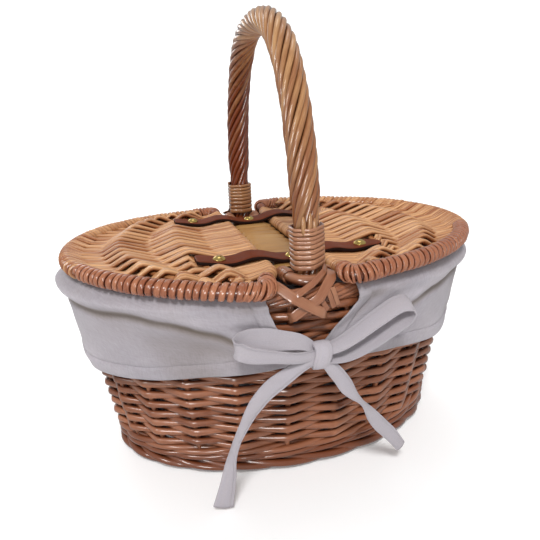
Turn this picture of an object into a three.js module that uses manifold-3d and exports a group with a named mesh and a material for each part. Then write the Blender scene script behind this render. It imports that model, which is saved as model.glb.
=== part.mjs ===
// An oval willow hamper basket: a woven bowl with a lapped border, a fixed twisted hoop handle,
// two half-oval lids on riveted leather straps, and a cotton liner that is tied with a bow at each handle foot.
// Millimetres, +Z up. X runs along the oval, -Y is the front, and the origin is under the middle of the foot.
import * as THREE from "three";
import { mergeVertices } from "three/addons/utils/BufferGeometryUtils.js";
import Module from "manifold-3d";

const wasm = await Module();
wasm.setup();

// Fits
const CLEARANCE = 0.3; // between pieces that rest on or pass through each other

// Bowl
const BASE_HALF_LENGTH = 128; // middle of the wall at the floor
const BASE_HALF_WIDTH = 78;
const RIM_HALF_LENGTH = 155; // middle of the wall at the rim
const RIM_HALF_WIDTH = 113;
const RIM_HEIGHT = 154; // top of the border
const STAKE_COUNT = 24;
const WEAVE_COURSES = 16;
const WEAVE_WALL = 4.4; // a weaver in front of a stake, from the inner face out
const WEAVE_RELIEF = 2.2; // how far a weaver stands proud of the stake that it passes
const STAKE_RIB = 2.2; // how far a stake stands into the bowl
const FOOT_HEIGHT = 8.7;
const FOOT_WIDTH = 7.6;
const WALE_HEIGHT = 11;
const BORDER_HEIGHT = 13;
const BORDER_WIDTH = 11;
const ROD_RELIEF = 0.8; // the rise of one rod over the next in a border or a wale

// Base
const BASE_THICKNESS = 5.1;
const BASE_STICK_DIAMETER = 2;
const BASE_ROUNDS = 6; // rounds of weaving from the middle to the edge
const LONG_STICKS = 3;
const CROSS_STICKS = 5;
const STICK_PITCH = 34;

// Handle
const HANDLE_REACH = 98; // from the middle of the basket to a handle leg
const HANDLE_TOP = 325; // middle of the handle at its crown
const HANDLE_SQUARENESS = 2.47; // exponent of the arch: 2 is an ellipse, more is squarer
const HANDLE_RADIUS = 10.2;
const HANDLE_RODS = 12;
const HANDLE_ROD_GROOVE = 1.5;
const HANDLE_NECK_RADIUS = 8.9; // drawn in under the collars
const HANDLE_LAY = 100; // length of one full turn of the twist
const HANDLE_STEPS = 42;
const BOW_RADIUS = 5; // the bent rod inside the twist
const LEG_FOOT_HEIGHT = 14; // lower end of that rod inside the bowl

// Collars and lashings at the handle feet
const COLLAR_PITCH = 3;
const SKEIN_HEIGHT = 2.5;
const SKEIN_THICKNESS = 2;
const COLLAR_TURNS_FRONT = 9;
const COLLAR_TURNS_REAR = 8;
const COLLAR_STEPS = 12; // facets in one turn
const LASHING_WIDTH = 7;
const LASHING_THICKNESS = 1.2;
const LASHING_SPREAD = 16; // half the width of the cross
const LASHING_DROP = 25;

// Centre bar between the lids
const BAR_ROD_RADIUS = 3;
const BAR_WRAP_LENGTH = 166;
const BAR_WRAP_WALL = 1.2;
const BAR_WRAP_TURNS = 18;

// Lids
const LID_LENGTH = 330; // over both lids
const LID_WIDTH = 258;
const LID_EDGE_RADIUS = 6.2; // the lapped hoop
const LID_LAPS = 38; // ridges of the lapping that the hoop carries
const LAP_RELIEF = 0.8;
const LID_CORNER = 15;
const LID_SEAT = 156.2; // underside of the hoop, on the liner over the border
const LID_RODS = 41; // weavers from front to back
const RIDGE_RISE = 6.5; // of a weaver over a rib, from where it passes the next weaver
const PANEL_THICKNESS = 4.4; // where the weavers pass each other

// Straps and rivets
const STRAP_REACH = BAR_WRAP_LENGTH / 2 - 19; // from the middle of the basket to a strap
const STRAP_WIDTH = 20;
const STRAP_THICKNESS = 2.2;
const STRAP_TIP = 69; // half the strap's length
const RIVET_FROM_MIDDLE = 52.6;
const RIVET_HEAD_RADIUS = 4.8;
const RIVET_HEAD_RISE = 2.4;
const RIVET_POST_RADIUS = 1.5;
const RIVET_WASHER_RADIUS = 4;
const RIVET_WASHER = 1;

// Liner and ties
const CLOTH = 1.6;
const POCKET_INSET = 18; // from the middle of the wall to the cloth
const SKIRT_STAND_OFF = 9; // from the middle of the wall to the cloth outside
const SKIRT_HEM_FRONT = 100; // height of the hem at the handles
const SKIRT_HEM_ENDS = 78; // height of the hem at the ends of the oval
const SKIRT_FOLDS = 12; // round the skirt
const FOLD_DEPTH = 3; // at the hem beside the ties
const SLIT_HALF_WIDTH = 27; // of the V at the border
const SLIT_POINT = 113; // height of the point of the V
const TIE_WIDTH = 14;
const TIE_THICKNESS = 1.6;
const KNOT_RADIUS = 6;
const KNOT_SHAPE = [0.85, 0.8, 1.1]; // its half sizes along X, Y and Z as shares of that radius
const KNOT_HEIGHT = 109;
const LOOP_LEFT = { reach: 56, rise: 14, swell: 9 }; // of the bow, measured from the knot
const LOOP_RIGHT = { reach: 64, rise: 26, swell: 6 };
const LOOP_LEAN = [0, 0.8, 0.6]; // the way that the width of a loop's tape runs
const TAIL_FALL = 100; // from the knot down to the end of a tail

// Tools
const THROUGH = 40; // length of a cutter that passes right through what it cuts

// Sizes that follow from those above
const AROUND = 2 * STAKE_COUNT; // one section at each stake and one between
const WALE_TOP = FOOT_HEIGHT + CLEARANCE + WALE_HEIGHT;
const BORDER_BOTTOM = RIM_HEIGHT - BORDER_HEIGHT;
const WALL_INNER = -WEAVE_WALL / 2;
const LID_EDGE_HEIGHT = LID_SEAT + LID_EDGE_RADIUS; // middle of the hoop
const PANEL_TOP = LID_EDGE_HEIGHT - 0.5;
const PANEL_BOTTOM = PANEL_TOP - PANEL_THICKNESS;
const BAR_HEIGHT = RIM_HEIGHT + CLEARANCE + BAR_ROD_RADIUS;
const BAR_ROD_SPREAD = HANDLE_NECK_RADIUS + CLEARANCE + BAR_ROD_RADIUS;
const BAR_HALF_WIDTH = BAR_ROD_SPREAD + BAR_ROD_RADIUS + CLEARANCE + BAR_WRAP_WALL;
const BAR_TOP = BAR_HEIGHT + BAR_ROD_RADIUS + CLEARANCE + BAR_WRAP_WALL;
const BAR_BOTTOM = 2 * BAR_HEIGHT - BAR_TOP;
const LID_INNER_EDGE = BAR_HALF_WIDTH + 4 * CLEARANCE + LID_EDGE_RADIUS; // middle of the hoop's straight
const SPRINGING = RIM_HEIGHT + CLEARANCE; // where the arch leaves the border
const COLLAR_FOOT = BAR_HEIGHT + BAR_ROD_RADIUS + CLEARANCE + SKEIN_HEIGHT / 2 + 1.5;
const HINGE_ANGLE = THREE.MathUtils.degToRad(146); // where the strap leaves the hoop, seen from the hoop's middle
const STRAP_OVER_HOOP = LID_EDGE_RADIUS + CLEARANCE; // underside of the strap round the hoop

// Materials
const willow = new THREE.MeshStandardMaterial({ color: 0xb4703f, roughness: 0.42, metalness: 0 });
const paleWillow = new THREE.MeshStandardMaterial({ color: 0xc79a5e, roughness: 0.5, metalness: 0 });
const leather = new THREE.MeshStandardMaterial({ color: 0x5f2a1c, roughness: 0.45, metalness: 0 });
const brass = new THREE.MeshStandardMaterial({ color: 0xc9a64a, roughness: 0.25, metalness: 1 });
const cotton = new THREE.MeshStandardMaterial({ color: 0xd9d3cc, roughness: 0.9, metalness: 0 });

const V = (x, y, z) => new THREE.Vector3(x, y, z);

// Skins a row of closed rings. An open row is capped at both ends, and a closed one joins up.
function loft(rings, closedRow = false) {
  const sides = rings[0].length;
  const points = rings.flat();
  const triangles = [];
  const at = (row, side) => (row % rings.length) * sides + (side % sides);
  for (let row = 0; row < rings.length - (closedRow ? 0 : 1); row++) {
    for (let side = 0; side < sides; side++) {
      const [a, b] = [at(row, side), at(row, side + 1)];
      const [c, d] = [at(row + 1, side + 1), at(row + 1, side)];
      triangles.push(a, b, c, a, c, d);
    }
  }
  if (!closedRow) {
    const ends = [
      [0, 1],
      [rings.length - 1, -1],
    ];
    for (const [row, turn] of ends) {
      const centre = rings[row].reduce((sum, p) => sum.add(p), V(0, 0, 0)).divideScalar(sides);
      points.push(centre);
      for (let side = 0; side < sides; side++) {
        const [a, b] = [at(row, side), at(row, side + 1)];
        triangles.push(points.length - 1, ...(turn > 0 ? [b, a] : [a, b]));
      }
    }
  }
  return facingOut(points, triangles);
}

// A geometry of those triangles, turned round if they face inwards.
function facingOut(points, triangles) {
  let volume = 0;
  for (let i = 0; i < triangles.length; i += 3) {
    const [a, b, c] = [0, 1, 2].map((k) => points[triangles[i + k]]);
    volume += a.dot(b.clone().cross(c));
  }
  const order = volume < 0 ? triangles.toReversed() : triangles;
  const geometry = new THREE.BufferGeometry().setFromPoints(points);
  geometry.setIndex(order);
  return geometry;
}

// Booleans
function solidOf(geometry) {
  const bare = geometry.clone();
  bare.deleteAttribute("normal");
  bare.deleteAttribute("uv");
  const merged = mergeVertices(bare, 1e-4);
  const mesh = new wasm.Mesh({
    numProp: 3,
    vertProperties: new Float32Array(merged.attributes.position.array),
    triVerts: new Uint32Array(merged.index.array),
  });
  return new wasm.Manifold(mesh);
}

function geometryOf(solid) {
  const mesh = solid.getMesh();
  const geometry = new THREE.BufferGeometry();
  geometry.setAttribute("position", new THREE.BufferAttribute(mesh.vertProperties, 3));
  geometry.setIndex(new THREE.BufferAttribute(mesh.triVerts, 1));
  return geometry;
}

const cut = (geometry, ...tools) =>
  geometryOf(tools.reduce((solid, tool) => solid.subtract(solidOf(tool)), solidOf(geometry)));
const join = (...pieces) =>
  geometryOf(pieces.slice(1).reduce((solid, piece) => solid.add(solidOf(piece)), solidOf(pieces[0])));
const common = (a, b) => geometryOf(solidOf(a).intersect(solidOf(b)));

function piece(name, geometry, material) {
  const mesh = new THREE.Mesh(geometry, material);
  mesh.name = name;
  return mesh;
}

// The wall's middle surface at a height, moved out by an offset, as the half axes of an oval
function wallOval(height, offset = 0) {
  const share = height / RIM_HEIGHT;
  return {
    a: THREE.MathUtils.lerp(BASE_HALF_LENGTH, RIM_HALF_LENGTH, share) + offset,
    b: THREE.MathUtils.lerp(BASE_HALF_WIDTH, RIM_HALF_WIDTH, share) + offset,
  };
}

function wallPoint(angle, height, offset) {
  const { a, b } = wallOval(height, offset);
  return V(a * Math.cos(angle), b * Math.sin(angle), height);
}

// A point on the front wall, above a place along the oval
function frontPoint(x, height, offset) {
  const { a } = wallOval(height, offset);
  return wallPoint(-Math.acos(x / a), height, offset);
}

// A ring round the bowl: sectionAt gives [offset, height] pairs for each of the sections round the oval
function wallRing(sectionAt) {
  const rings = [];
  for (let i = 0; i < AROUND; i++) {
    const angle = ((i + 1) * 2 * Math.PI) / AROUND;
    rings.push(sectionAt(i).map(([offset, height]) => wallPoint(angle, height, offset)));
  }
  return loft(rings, true);
}

// Slanting rods in a border: each section stands proud of the last, one step later at the top than below
const slant = (i, step) => ((i + step) % 3) * 0.5 * ROD_RELIEF;

function footBorder() {
  const [inner, outer] = [-FOOT_WIDTH / 2 + 1.4, FOOT_WIDTH / 2 + 1.4];
  return wallRing((i) => [
    [inner, 0],
    [outer - 1.4, 0],
    [outer + slant(i, 0), FOOT_HEIGHT * 0.4],
    [outer + slant(i, 1) - 0.8, FOOT_HEIGHT * 0.8],
    [outer - 2.4, FOOT_HEIGHT],
    [inner, FOOT_HEIGHT],
  ]);
}

function upsetWale() {
  const [bottom, top] = [FOOT_HEIGHT + CLEARANCE, WALE_TOP];
  const outer = -WALL_INNER;
  return wallRing((i) => [
    [WALL_INNER, bottom],
    [outer, bottom],
    [outer + slant(i, 0), THREE.MathUtils.lerp(bottom, top, 0.25)],
    [outer + slant(i, 1), THREE.MathUtils.lerp(bottom, top, 0.75)],
    [outer, top],
    [WALL_INNER, top],
  ]);
}

// Weavers pass in front of one stake and behind the next, and change places in the next course
function sideWeave() {
  const bottom = WALE_TOP + CLEARANCE;
  const top = BORDER_BOTTOM - CLEARANCE;
  return wallRing((i) => {
    const atStake = i % 2 === 0;
    const inner = atStake ? WALL_INNER - STAKE_RIB : WALL_INNER;
    const section = [
      [inner, top],
      [inner, bottom],
    ];
    for (let course = 0; course <= WEAVE_COURSES; course++) {
      const inFront = (course + i / 2) % 2 === 0;
      const relief = atStake ? (inFront ? WEAVE_RELIEF : 0) : WEAVE_RELIEF / 2;
      section.push([relief, THREE.MathUtils.lerp(bottom, top, course / WEAVE_COURSES)]);
    }
    return section;
  });
}

function rimBorder() {
  const half = BORDER_WIDTH / 2;
  const [bottom, top] = [BORDER_BOTTOM, RIM_HEIGHT];
  return wallRing((i) => [
    [-half + 2, bottom],
    [half - 2, bottom],
    [half - ROD_RELIEF + slant(i, 0), bottom + BORDER_HEIGHT * 0.3],
    [half - ROD_RELIEF + slant(i, 1), bottom + BORDER_HEIGHT * 0.72],
    [half - 2.5, top],
    [-half + 2.5, top],
    [-half, bottom + BORDER_HEIGHT * 0.72],
    [-half, bottom + BORDER_HEIGHT * 0.3],
  ]);
}

// The oval base: rounds of weaving that rise and fall over the sticks
const BASE_BOTTOM = FOOT_HEIGHT - CLEARANCE - BASE_THICKNESS;
const BASE_EDGE = -FOOT_WIDTH / 2 + 1.4 - CLEARANCE;

function baseWeave() {
  const edge = wallOval(0, BASE_EDGE);
  const profile = [new THREE.Vector2(0, 0)];
  for (let round = 1; round <= 2 * BASE_ROUNDS; round++) {
    profile.push(new THREE.Vector2(round / (2 * BASE_ROUNDS), round % 2 ? 0.9 : 0));
  }
  profile.push(new THREE.Vector2(1, BASE_THICKNESS));
  profile.push(new THREE.Vector2(0, BASE_THICKNESS));
  const disc = new THREE.LatheGeometry(profile, AROUND / 2);
  disc.rotateX(Math.PI / 2);
  disc.scale(edge.a, edge.b, 1);
  disc.translate(0, 0, BASE_BOTTOM);
  return disc;
}

function baseSticks() {
  const edge = wallOval(0, BASE_EDGE - 1);
  const radius = BASE_STICK_DIAMETER / 2;
  const height = BASE_BOTTOM - CLEARANCE - radius;
  const stick = (length) => new THREE.CylinderGeometry(radius, radius, 2 * length, 5);
  const sticks = [];
  for (let i = 0; i < LONG_STICKS; i++) {
    const y = (i - (LONG_STICKS - 1) / 2) * STICK_PITCH;
    const length = edge.a * Math.sqrt(1 - (y / edge.b) ** 2);
    sticks.push(stick(length).rotateZ(Math.PI / 2).translate(0, y, height));
  }
  for (let i = 0; i < CROSS_STICKS; i++) {
    const x = (i - (CROSS_STICKS - 1) / 2) * STICK_PITCH;
    const length = edge.b * Math.sqrt(1 - (x / edge.a) ** 2);
    sticks.push(stick(length).translate(x, 0, height));
  }
  return join(...sticks);
}

// The line of the handle from the front foot over the crown to the rear foot
class HandleArch extends THREE.Curve {
  getPoint(t) {
    const [across, up] = [Math.cos(Math.PI * t), Math.sin(Math.PI * t)];
    const bend = (value) => Math.sign(value) * Math.abs(value) ** (2 / HANDLE_SQUARENESS);
    return V(0, -HANDLE_REACH * bend(across), SPRINGING + (HANDLE_TOP - SPRINGING) * bend(Math.max(up, 0)));
  }
}

// How far a leg stands from the middle of the basket at a height
function legReach(height) {
  const share = (height - SPRINGING) / (HANDLE_TOP - SPRINGING);
  return HANDLE_REACH * (1 - share ** HANDLE_SQUARENESS) ** (1 / HANDLE_SQUARENESS);
}

// Rings of points round a line in the plane x = 0
function planarTube(line, ringAt) {
  return line.map((point, i) => {
    const ahead = line[Math.min(i + 1, line.length - 1)];
    const behind = line[Math.max(i - 1, 0)];
    const along = ahead.clone().sub(behind).normalize();
    const side = V(1, 0, 0);
    const out = along.clone().cross(side);
    return ringAt(i).map(([p, q]) => point.clone().addScaledVector(side, p).addScaledVector(out, q));
  });
}

const regular = (count, radius, turn = 0) =>
  Array.from({ length: count }, (_, k) => {
    const angle = turn + (k * 2 * Math.PI) / count;
    return [radius * Math.cos(angle), radius * Math.sin(angle)];
  });

const archLine = new HandleArch().getSpacedPoints(HANDLE_STEPS);
const archLength = new HandleArch().getLength();

// The bent rod: its legs go down inside the bowl and lean on the weave
function handleBowLine(sides, radius) {
  const legTop = V(0, HANDLE_REACH, BORDER_BOTTOM);
  const foot = wallOval(LEG_FOOT_HEIGHT, WALL_INNER - CLEARANCE - BOW_RADIUS - 0.4);
  const legFoot = V(0, foot.b, LEG_FOOT_HEIGHT);
  const mirror = V(1, -1, 1);
  const line = [
    legFoot.clone().multiply(mirror),
    legTop.clone().multiply(mirror),
    ...archLine,
    legTop,
    legFoot,
  ];
  return loft(planarTube(line, () => regular(sides, radius)));
}

// The rods laid round the bow: a lobed section that turns along the arch
function handleTwist() {
  const neckTop = COLLAR_FOOT + COLLAR_TURNS_FRONT * COLLAR_PITCH + HANDLE_RADIUS;
  const rings = planarTube(archLine, (i) => {
    const swell = THREE.MathUtils.smoothstep(archLine[i].z, neckTop, neckTop + HANDLE_RADIUS);
    const radius = THREE.MathUtils.lerp(HANDLE_NECK_RADIUS, HANDLE_RADIUS, swell);
    const turn = ((i / HANDLE_STEPS) * archLength * 2 * Math.PI) / HANDLE_LAY;
    return regular(2 * HANDLE_RODS, 1, turn).map(([p, q], k) => {
      const reach = k % 2 ? radius - HANDLE_ROD_GROOVE : radius;
      return [p * reach, q * reach];
    });
  });
  return cut(loft(rings), handleBowLine(6, BOW_RADIUS + CLEARANCE));
}

// A skein wound round the front handle foot as one unbroken helix
function collar(turns) {
  const radius = HANDLE_NECK_RADIUS + 2 * CLEARANCE + SKEIN_THICKNESS / 2;
  const rings = [];
  for (let i = 0; i <= turns * COLLAR_STEPS; i++) {
    const angle = (i * 2 * Math.PI) / COLLAR_STEPS;
    const height = COLLAR_FOOT + (i * COLLAR_PITCH) / COLLAR_STEPS;
    const corners = [
      [-1, -1],
      [1, -1],
      [1, 1],
      [-1, 1],
    ];
    rings.push(
      corners.map(([out, up]) => {
        const reach = radius + (out * SKEIN_THICKNESS) / 2;
        const [x, y] = [reach * Math.cos(angle), reach * Math.sin(angle)];
        return V(x, y - legReach(height), height + (up * SKEIN_HEIGHT) / 2);
      }),
    );
  }
  return { geometry: loft(rings), gap: leastGap(rings) };
}

// The least distance between points of a winding that lie most of a turn apart
function leastGap(rings) {
  let least = Infinity;
  for (let i = 0; i < rings.length; i++) {
    for (let j = i + Math.ceil(0.75 * COLLAR_STEPS); j < rings.length; j++) {
      for (const p of rings[i]) {
        for (const q of rings[j]) least = Math.min(least, p.distanceTo(q));
      }
    }
  }
  return least;
}

// Two flat skeins that cross on the border below a handle foot and hold the foot to it
function lashing() {
  const steps = 5;
  const top = RIM_HEIGHT - 2;
  const offset = BORDER_WIDTH / 2 + CLEARANCE;
  const strip = (lean) => {
    const rings = [];
    for (let i = 0; i <= steps; i++) {
      const share = i / steps;
      const x = lean * THREE.MathUtils.lerp(-LASHING_SPREAD, LASHING_SPREAD, share);
      const height = top - LASHING_DROP * share;
      const half = LASHING_WIDTH / 2;
      const slope = Math.hypot(LASHING_DROP, 2 * LASHING_SPREAD);
      const [dx, dz] = [(lean * half * LASHING_DROP) / slope, (half * 2 * LASHING_SPREAD) / slope];
      rings.push([
        frontPoint(x - dx, height - dz, offset),
        frontPoint(x + dx, Math.min(height + dz, RIM_HEIGHT - 1), offset),
        frontPoint(x + dx, Math.min(height + dz, RIM_HEIGHT - 1), offset + LASHING_THICKNESS),
        frontPoint(x - dx, height - dz, offset + LASHING_THICKNESS),
      ]);
    }
    return loft(rings);
  };
  return join(strip(1), strip(-1));
}

// The centre bar's long loop of cane, which goes round both handle legs
function barLoop() {
  const bends = 8;
  const rings = [];
  for (const end of [1, -1]) {
    for (let i = 0; i <= bends; i++) {
      const angle = ((end > 0 ? 0 : Math.PI) + (i * Math.PI) / bends) % (2 * Math.PI);
      const out = V(Math.cos(angle), Math.sin(angle), 0);
      const middle = V(0, end * HANDLE_REACH, BAR_HEIGHT).addScaledVector(out, BAR_ROD_SPREAD);
      rings.push(
        regular(6, BAR_ROD_RADIUS).map(([p, q]) => middle.clone().addScaledVector(out, p).add(V(0, 0, q))),
      );
    }
  }
  return loft(rings, true);
}

// The skein wound round both canes: a ridge for each turn outside, and a plain bore
function barWrap() {
  const ring = (y, halfWidth, halfHeight) => {
    const [w, h, bevel] = [halfWidth, halfHeight, halfHeight * 0.6];
    const outline = [
      [w, h - bevel],
      [w - bevel, h],
      [bevel - w, h],
      [-w, h - bevel],
      [-w, bevel - h],
      [bevel - w, -h],
      [w - bevel, -h],
      [w, bevel - h],
    ];
    return outline.map(([x, z]) => V(x, y, BAR_HEIGHT + z));
  };
  const rings = [];
  const groove = 0.5;
  for (let i = 0; i <= 2 * BAR_WRAP_TURNS; i++) {
    const y = (i / (2 * BAR_WRAP_TURNS) - 0.5) * BAR_WRAP_LENGTH;
    const sunk = i % 2 ? 0 : groove;
    rings.push(ring(y, BAR_HALF_WIDTH - sunk, BAR_TOP - BAR_HEIGHT - sunk));
  }
  const bore = [BAR_HALF_WIDTH - BAR_WRAP_WALL, BAR_ROD_RADIUS + CLEARANCE];
  rings.push(ring(BAR_WRAP_LENGTH / 2, ...bore), ring(-BAR_WRAP_LENGTH / 2, ...bore));
  return loft(rings, true);
}

// The middle line of a lid's hoop: a straight beside the bar, round corners and half an oval, for the lid at +X
function hoopPath() {
  const [a, b] = [LID_LENGTH / 2 - LID_EDGE_RADIUS, LID_WIDTH / 2 - LID_EDGE_RADIUS];
  const start = Math.acos((LID_INNER_EDGE + LID_CORNER) / a);
  const corner = b * Math.sin(Math.acos(LID_INNER_EDGE / a));
  const straight = corner - LID_CORNER;
  const onOval = new THREE.Vector2(a * Math.cos(start), b * Math.sin(start));
  const path = new THREE.Path();
  path.moveTo(LID_INNER_EDGE, straight);
  path.lineTo(LID_INNER_EDGE, -straight);
  path.quadraticCurveTo(LID_INNER_EDGE, -corner, onOval.x, -onOval.y);
  path.absellipse(0, 0, a, b, -start, start, false, 0);
  path.quadraticCurveTo(LID_INNER_EDGE, corner, LID_INNER_EDGE, straight);
  return path;
}

function lidHoop() {
  const path = hoopPath();
  const count = 2 * LID_LAPS;
  const rings = [];
  for (let i = 0; i < count; i++) {
    const point = path.getPointAt(i / count);
    const along = path.getTangentAt(i / count);
    const radius = i % 2 ? LID_EDGE_RADIUS - LAP_RELIEF : LID_EDGE_RADIUS;
    rings.push(
      regular(6, radius).map(([p, q]) => V(point.x + p * along.y, point.y - p * along.x, LID_EDGE_HEIGHT + q)),
    );
  }
  return loft(rings, true);
}

// The woven panel inside the hoop: a row of facets for each weaver, over one rib and under the other, flat underneath.
// Weavers are pressed flat under the straps
function lidPanel() {
  const inset = LID_EDGE_RADIUS + CLEARANCE;
  const [a, b] = [LID_LENGTH / 2 - LID_EDGE_RADIUS - inset, LID_WIDTH / 2 - LID_EDGE_RADIUS - inset];
  const inner = LID_INNER_EDGE + inset;
  const reach = 0.928 * b;
  const pitch = (2 * reach) / (LID_RODS - 1);
  // Shares of the way from the hinge stick to the hoop, with the ribs at the third and the fifth
  const places = [0, 0.16, 0.36, 0.54, 0.73, 0.85, 1];
  const overFirst = [0.75, 0, 1, 0, 0.3, 0, 0.5];
  const overSecond = [0.75, 0, 0.3, 0, 1, 0, 0.2];
  const rings = [];
  for (let i = 0; i < LID_RODS; i++) {
    const y = i * pitch - reach;
    const start = inner + Math.max(0, Math.abs(y) - (b - LID_CORNER));
    const end = a * Math.sqrt(1 - (y / b) ** 2);
    const pressed = Math.abs(Math.abs(y) - STRAP_REACH) < STRAP_WIDTH / 2 + pitch;
    const rises = i % 2 ? overSecond : overFirst;
    const ring = [V(end, y, PANEL_BOTTOM), V(start, y, PANEL_BOTTOM)];
    places.forEach((share, k) => {
      const x = THREE.MathUtils.lerp(start, end, share);
      const rise = pressed && x < STRAP_TIP + STRAP_WIDTH ? 0 : rises[k];
      ring.push(V(x, y, PANEL_TOP + RIDGE_RISE * rise));
    });
    rings.push(ring);
  }
  const holes = [-STRAP_REACH, STRAP_REACH].map((y) => rivetHole(RIVET_FROM_MIDDLE, y, LID_EDGE_HEIGHT));
  return cut(loft(rings), ...holes);
}

function rivetHole(x, y, height) {
  const radius = RIVET_POST_RADIUS + CLEARANCE;
  return new THREE.CylinderGeometry(radius, radius, THROUGH, 8).rotateX(Math.PI / 2).translate(x, y, height);
}

// A leather strip of that outline seen from the front, as wide as a strap and holed for its rivet
function strapSheet(outline, y, rivetX, height) {
  const shape = new THREE.Shape(outline.map(([x, z]) => new THREE.Vector2(x, z)));
  const sheet = new THREE.ExtrudeGeometry(shape, { depth: STRAP_WIDTH, bevelEnabled: false });
  sheet.rotateX(Math.PI / 2).translate(0, y + STRAP_WIDTH / 2, 0);
  return cut(sheet, rivetHole(rivetX, y, height));
}

const hingePoint = [
  LID_INNER_EDGE + (STRAP_OVER_HOOP + STRAP_THICKNESS) * Math.cos(HINGE_ANGLE),
  LID_EDGE_HEIGHT + (STRAP_OVER_HOOP + STRAP_THICKNESS) * Math.sin(HINGE_ANGLE),
];
const LEAF_BOTTOM = PANEL_TOP + CLEARANCE;
const LEAF_TOP = LEAF_BOTTOM + STRAP_THICKNESS;

// The end of a strap on a lid: over the hoop, then flat on the panel, with a round tip
function strapLeaf(y) {
  const leave = THREE.MathUtils.degToRad(72);
  const steps = 5;
  const start = HINGE_ANGLE - CLEARANCE / STRAP_OVER_HOOP;
  const arc = (radius) =>
    Array.from({ length: steps + 1 }, (_, i) => {
      const angle = THREE.MathUtils.lerp(start, leave, i / steps);
      return [LID_INNER_EDGE + radius * Math.cos(angle), LID_EDGE_HEIGHT + radius * Math.sin(angle)];
    });
  const landing = LID_INNER_EDGE + 2 * LID_EDGE_RADIUS;
  const outline = [
    ...arc(STRAP_OVER_HOOP + STRAP_THICKNESS),
    [landing, LEAF_TOP],
    [STRAP_TIP, LEAF_TOP],
    [STRAP_TIP, LEAF_BOTTOM],
    [landing, LEAF_BOTTOM],
    ...arc(STRAP_OVER_HOOP).toReversed(),
  ];
  const half = STRAP_WIDTH / 2;
  const plan = new THREE.Shape();
  plan.moveTo(0, -half);
  plan.lineTo(STRAP_TIP - half, -half);
  plan.quadraticCurveTo(STRAP_TIP, -half * 0.7, STRAP_TIP, 0);
  plan.quadraticCurveTo(STRAP_TIP, half * 0.7, STRAP_TIP - half, half);
  plan.lineTo(0, half);
  const tip = new THREE.ExtrudeGeometry(plan, { depth: THROUGH, bevelEnabled: false, curveSegments: 4 });
  tip.translate(0, y, LEAF_TOP - THROUGH / 2);
  return common(strapSheet(outline, y, RIVET_FROM_MIDDLE, LEAF_TOP), tip);
}

// The middle of a strap on the bar, turned up at both ends to the hinge lines
function strapMiddle(y) {
  const [bottom, top] = [BAR_TOP + CLEARANCE, BAR_TOP + CLEARANCE + STRAP_THICKNESS];
  const [hingeX, hingeZ] = hingePoint;
  const flat = hingeX - 7;
  const right = [
    [flat, top],
    [hingeX - 3.4, top + 1],
    [hingeX - CLEARANCE, hingeZ - CLEARANCE],
    [hingeX + 1, hingeZ - STRAP_THICKNESS],
    [hingeX - 1.8, bottom + 0.9],
    [flat, bottom],
  ];
  const left = right.map(([x, z]) => [-x, z]).toReversed();
  return strapSheet([...right, ...left], y, 0, top);
}

// A rivet: a domed head, a post and a washer under what it holds
function rivet(headSeat, washerSeat) {
  const head = headSeat + CLEARANCE;
  const washer = washerSeat - CLEARANCE;
  const profile = [
    [0, washer - RIVET_WASHER],
    [RIVET_WASHER_RADIUS, washer - RIVET_WASHER],
    [RIVET_WASHER_RADIUS, washer],
    [RIVET_POST_RADIUS, washer],
    [RIVET_POST_RADIUS, head],
    [RIVET_HEAD_RADIUS, head],
    [RIVET_HEAD_RADIUS * 0.75, head + RIVET_HEAD_RISE * 0.7],
    [0, head + RIVET_HEAD_RISE],
  ];
  const lathe = new THREE.LatheGeometry(profile.map(([r, z]) => new THREE.Vector2(r, z)), 8);
  return lathe.rotateX(Math.PI / 2);
}

// The liner: a pocket inside the bowl, rolled over the border to a skirt outside, slit at the handle feet
function liner() {
  const floor = BASE_BOTTOM + BASE_THICKNESS + CLEARANCE + 0.5;
  const top = LID_SEAT - CLEARANCE;
  const half = BORDER_WIDTH / 2;
  const flare = BORDER_BOTTOM - 8;
  const hem = (angle) =>
    THREE.MathUtils.lerp(SKIRT_HEM_ENDS, SKIRT_HEM_FRONT, Math.abs(Math.sin(angle)) ** 3);
  // Folds open towards the hem and are deepest beside the ties
  const fold = (angle, height) => {
    const down = THREE.MathUtils.clamp((BORDER_BOTTOM - height) / (BORDER_BOTTOM - hem(angle)), 0, 1);
    const gather = 0.35 + 0.65 * Math.sin(angle) ** 2;
    return FOLD_DEPTH * down * gather * (0.5 - 0.5 * Math.cos(SKIRT_FOLDS * (angle + Math.PI / 2)));
  };
  const outside = [
    [-POCKET_INSET, () => floor],
    [-POCKET_INSET, () => flare],
    [-half - 1, () => RIM_HEIGHT - 1],
    [-half + 2, () => top - CLOTH],
    [half - 2, () => top - CLOTH],
    [half + 1, () => RIM_HEIGHT - 1],
    [SKIRT_STAND_OFF - CLOTH, () => BORDER_BOTTOM - 6],
    [SKIRT_STAND_OFF - CLOTH + 0.6, (angle) => hem(angle) + 10],
    [SKIRT_STAND_OFF - CLOTH - 0.6, hem],
  ];
  const inside = [
    [SKIRT_STAND_OFF - 0.6, hem],
    [SKIRT_STAND_OFF + 0.6, (angle) => hem(angle) + 10],
    [SKIRT_STAND_OFF, () => BORDER_BOTTOM - 6],
    [half + 1 + CLOTH, () => RIM_HEIGHT],
    [half - 2, () => top],
    [-half + 2, () => top],
    [-half - 1 - CLOTH, () => RIM_HEIGHT],
    [-POCKET_INSET - CLOTH, () => flare + 1],
    [-POCKET_INSET - CLOTH, () => floor + CLOTH],
  ];
  const rings = [...outside, ...inside].map(([offset, heightAt]) =>
    Array.from({ length: AROUND }, (_, i) => {
      const angle = (i * 2 * Math.PI) / AROUND;
      const height = heightAt(angle);
      return wallPoint(angle, height, offset > 0 ? offset + fold(angle, height) : offset);
    }),
  );
  return cut(loft(rings), ...[-1, 1].flatMap((side) => slitTools(side)));
}

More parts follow.
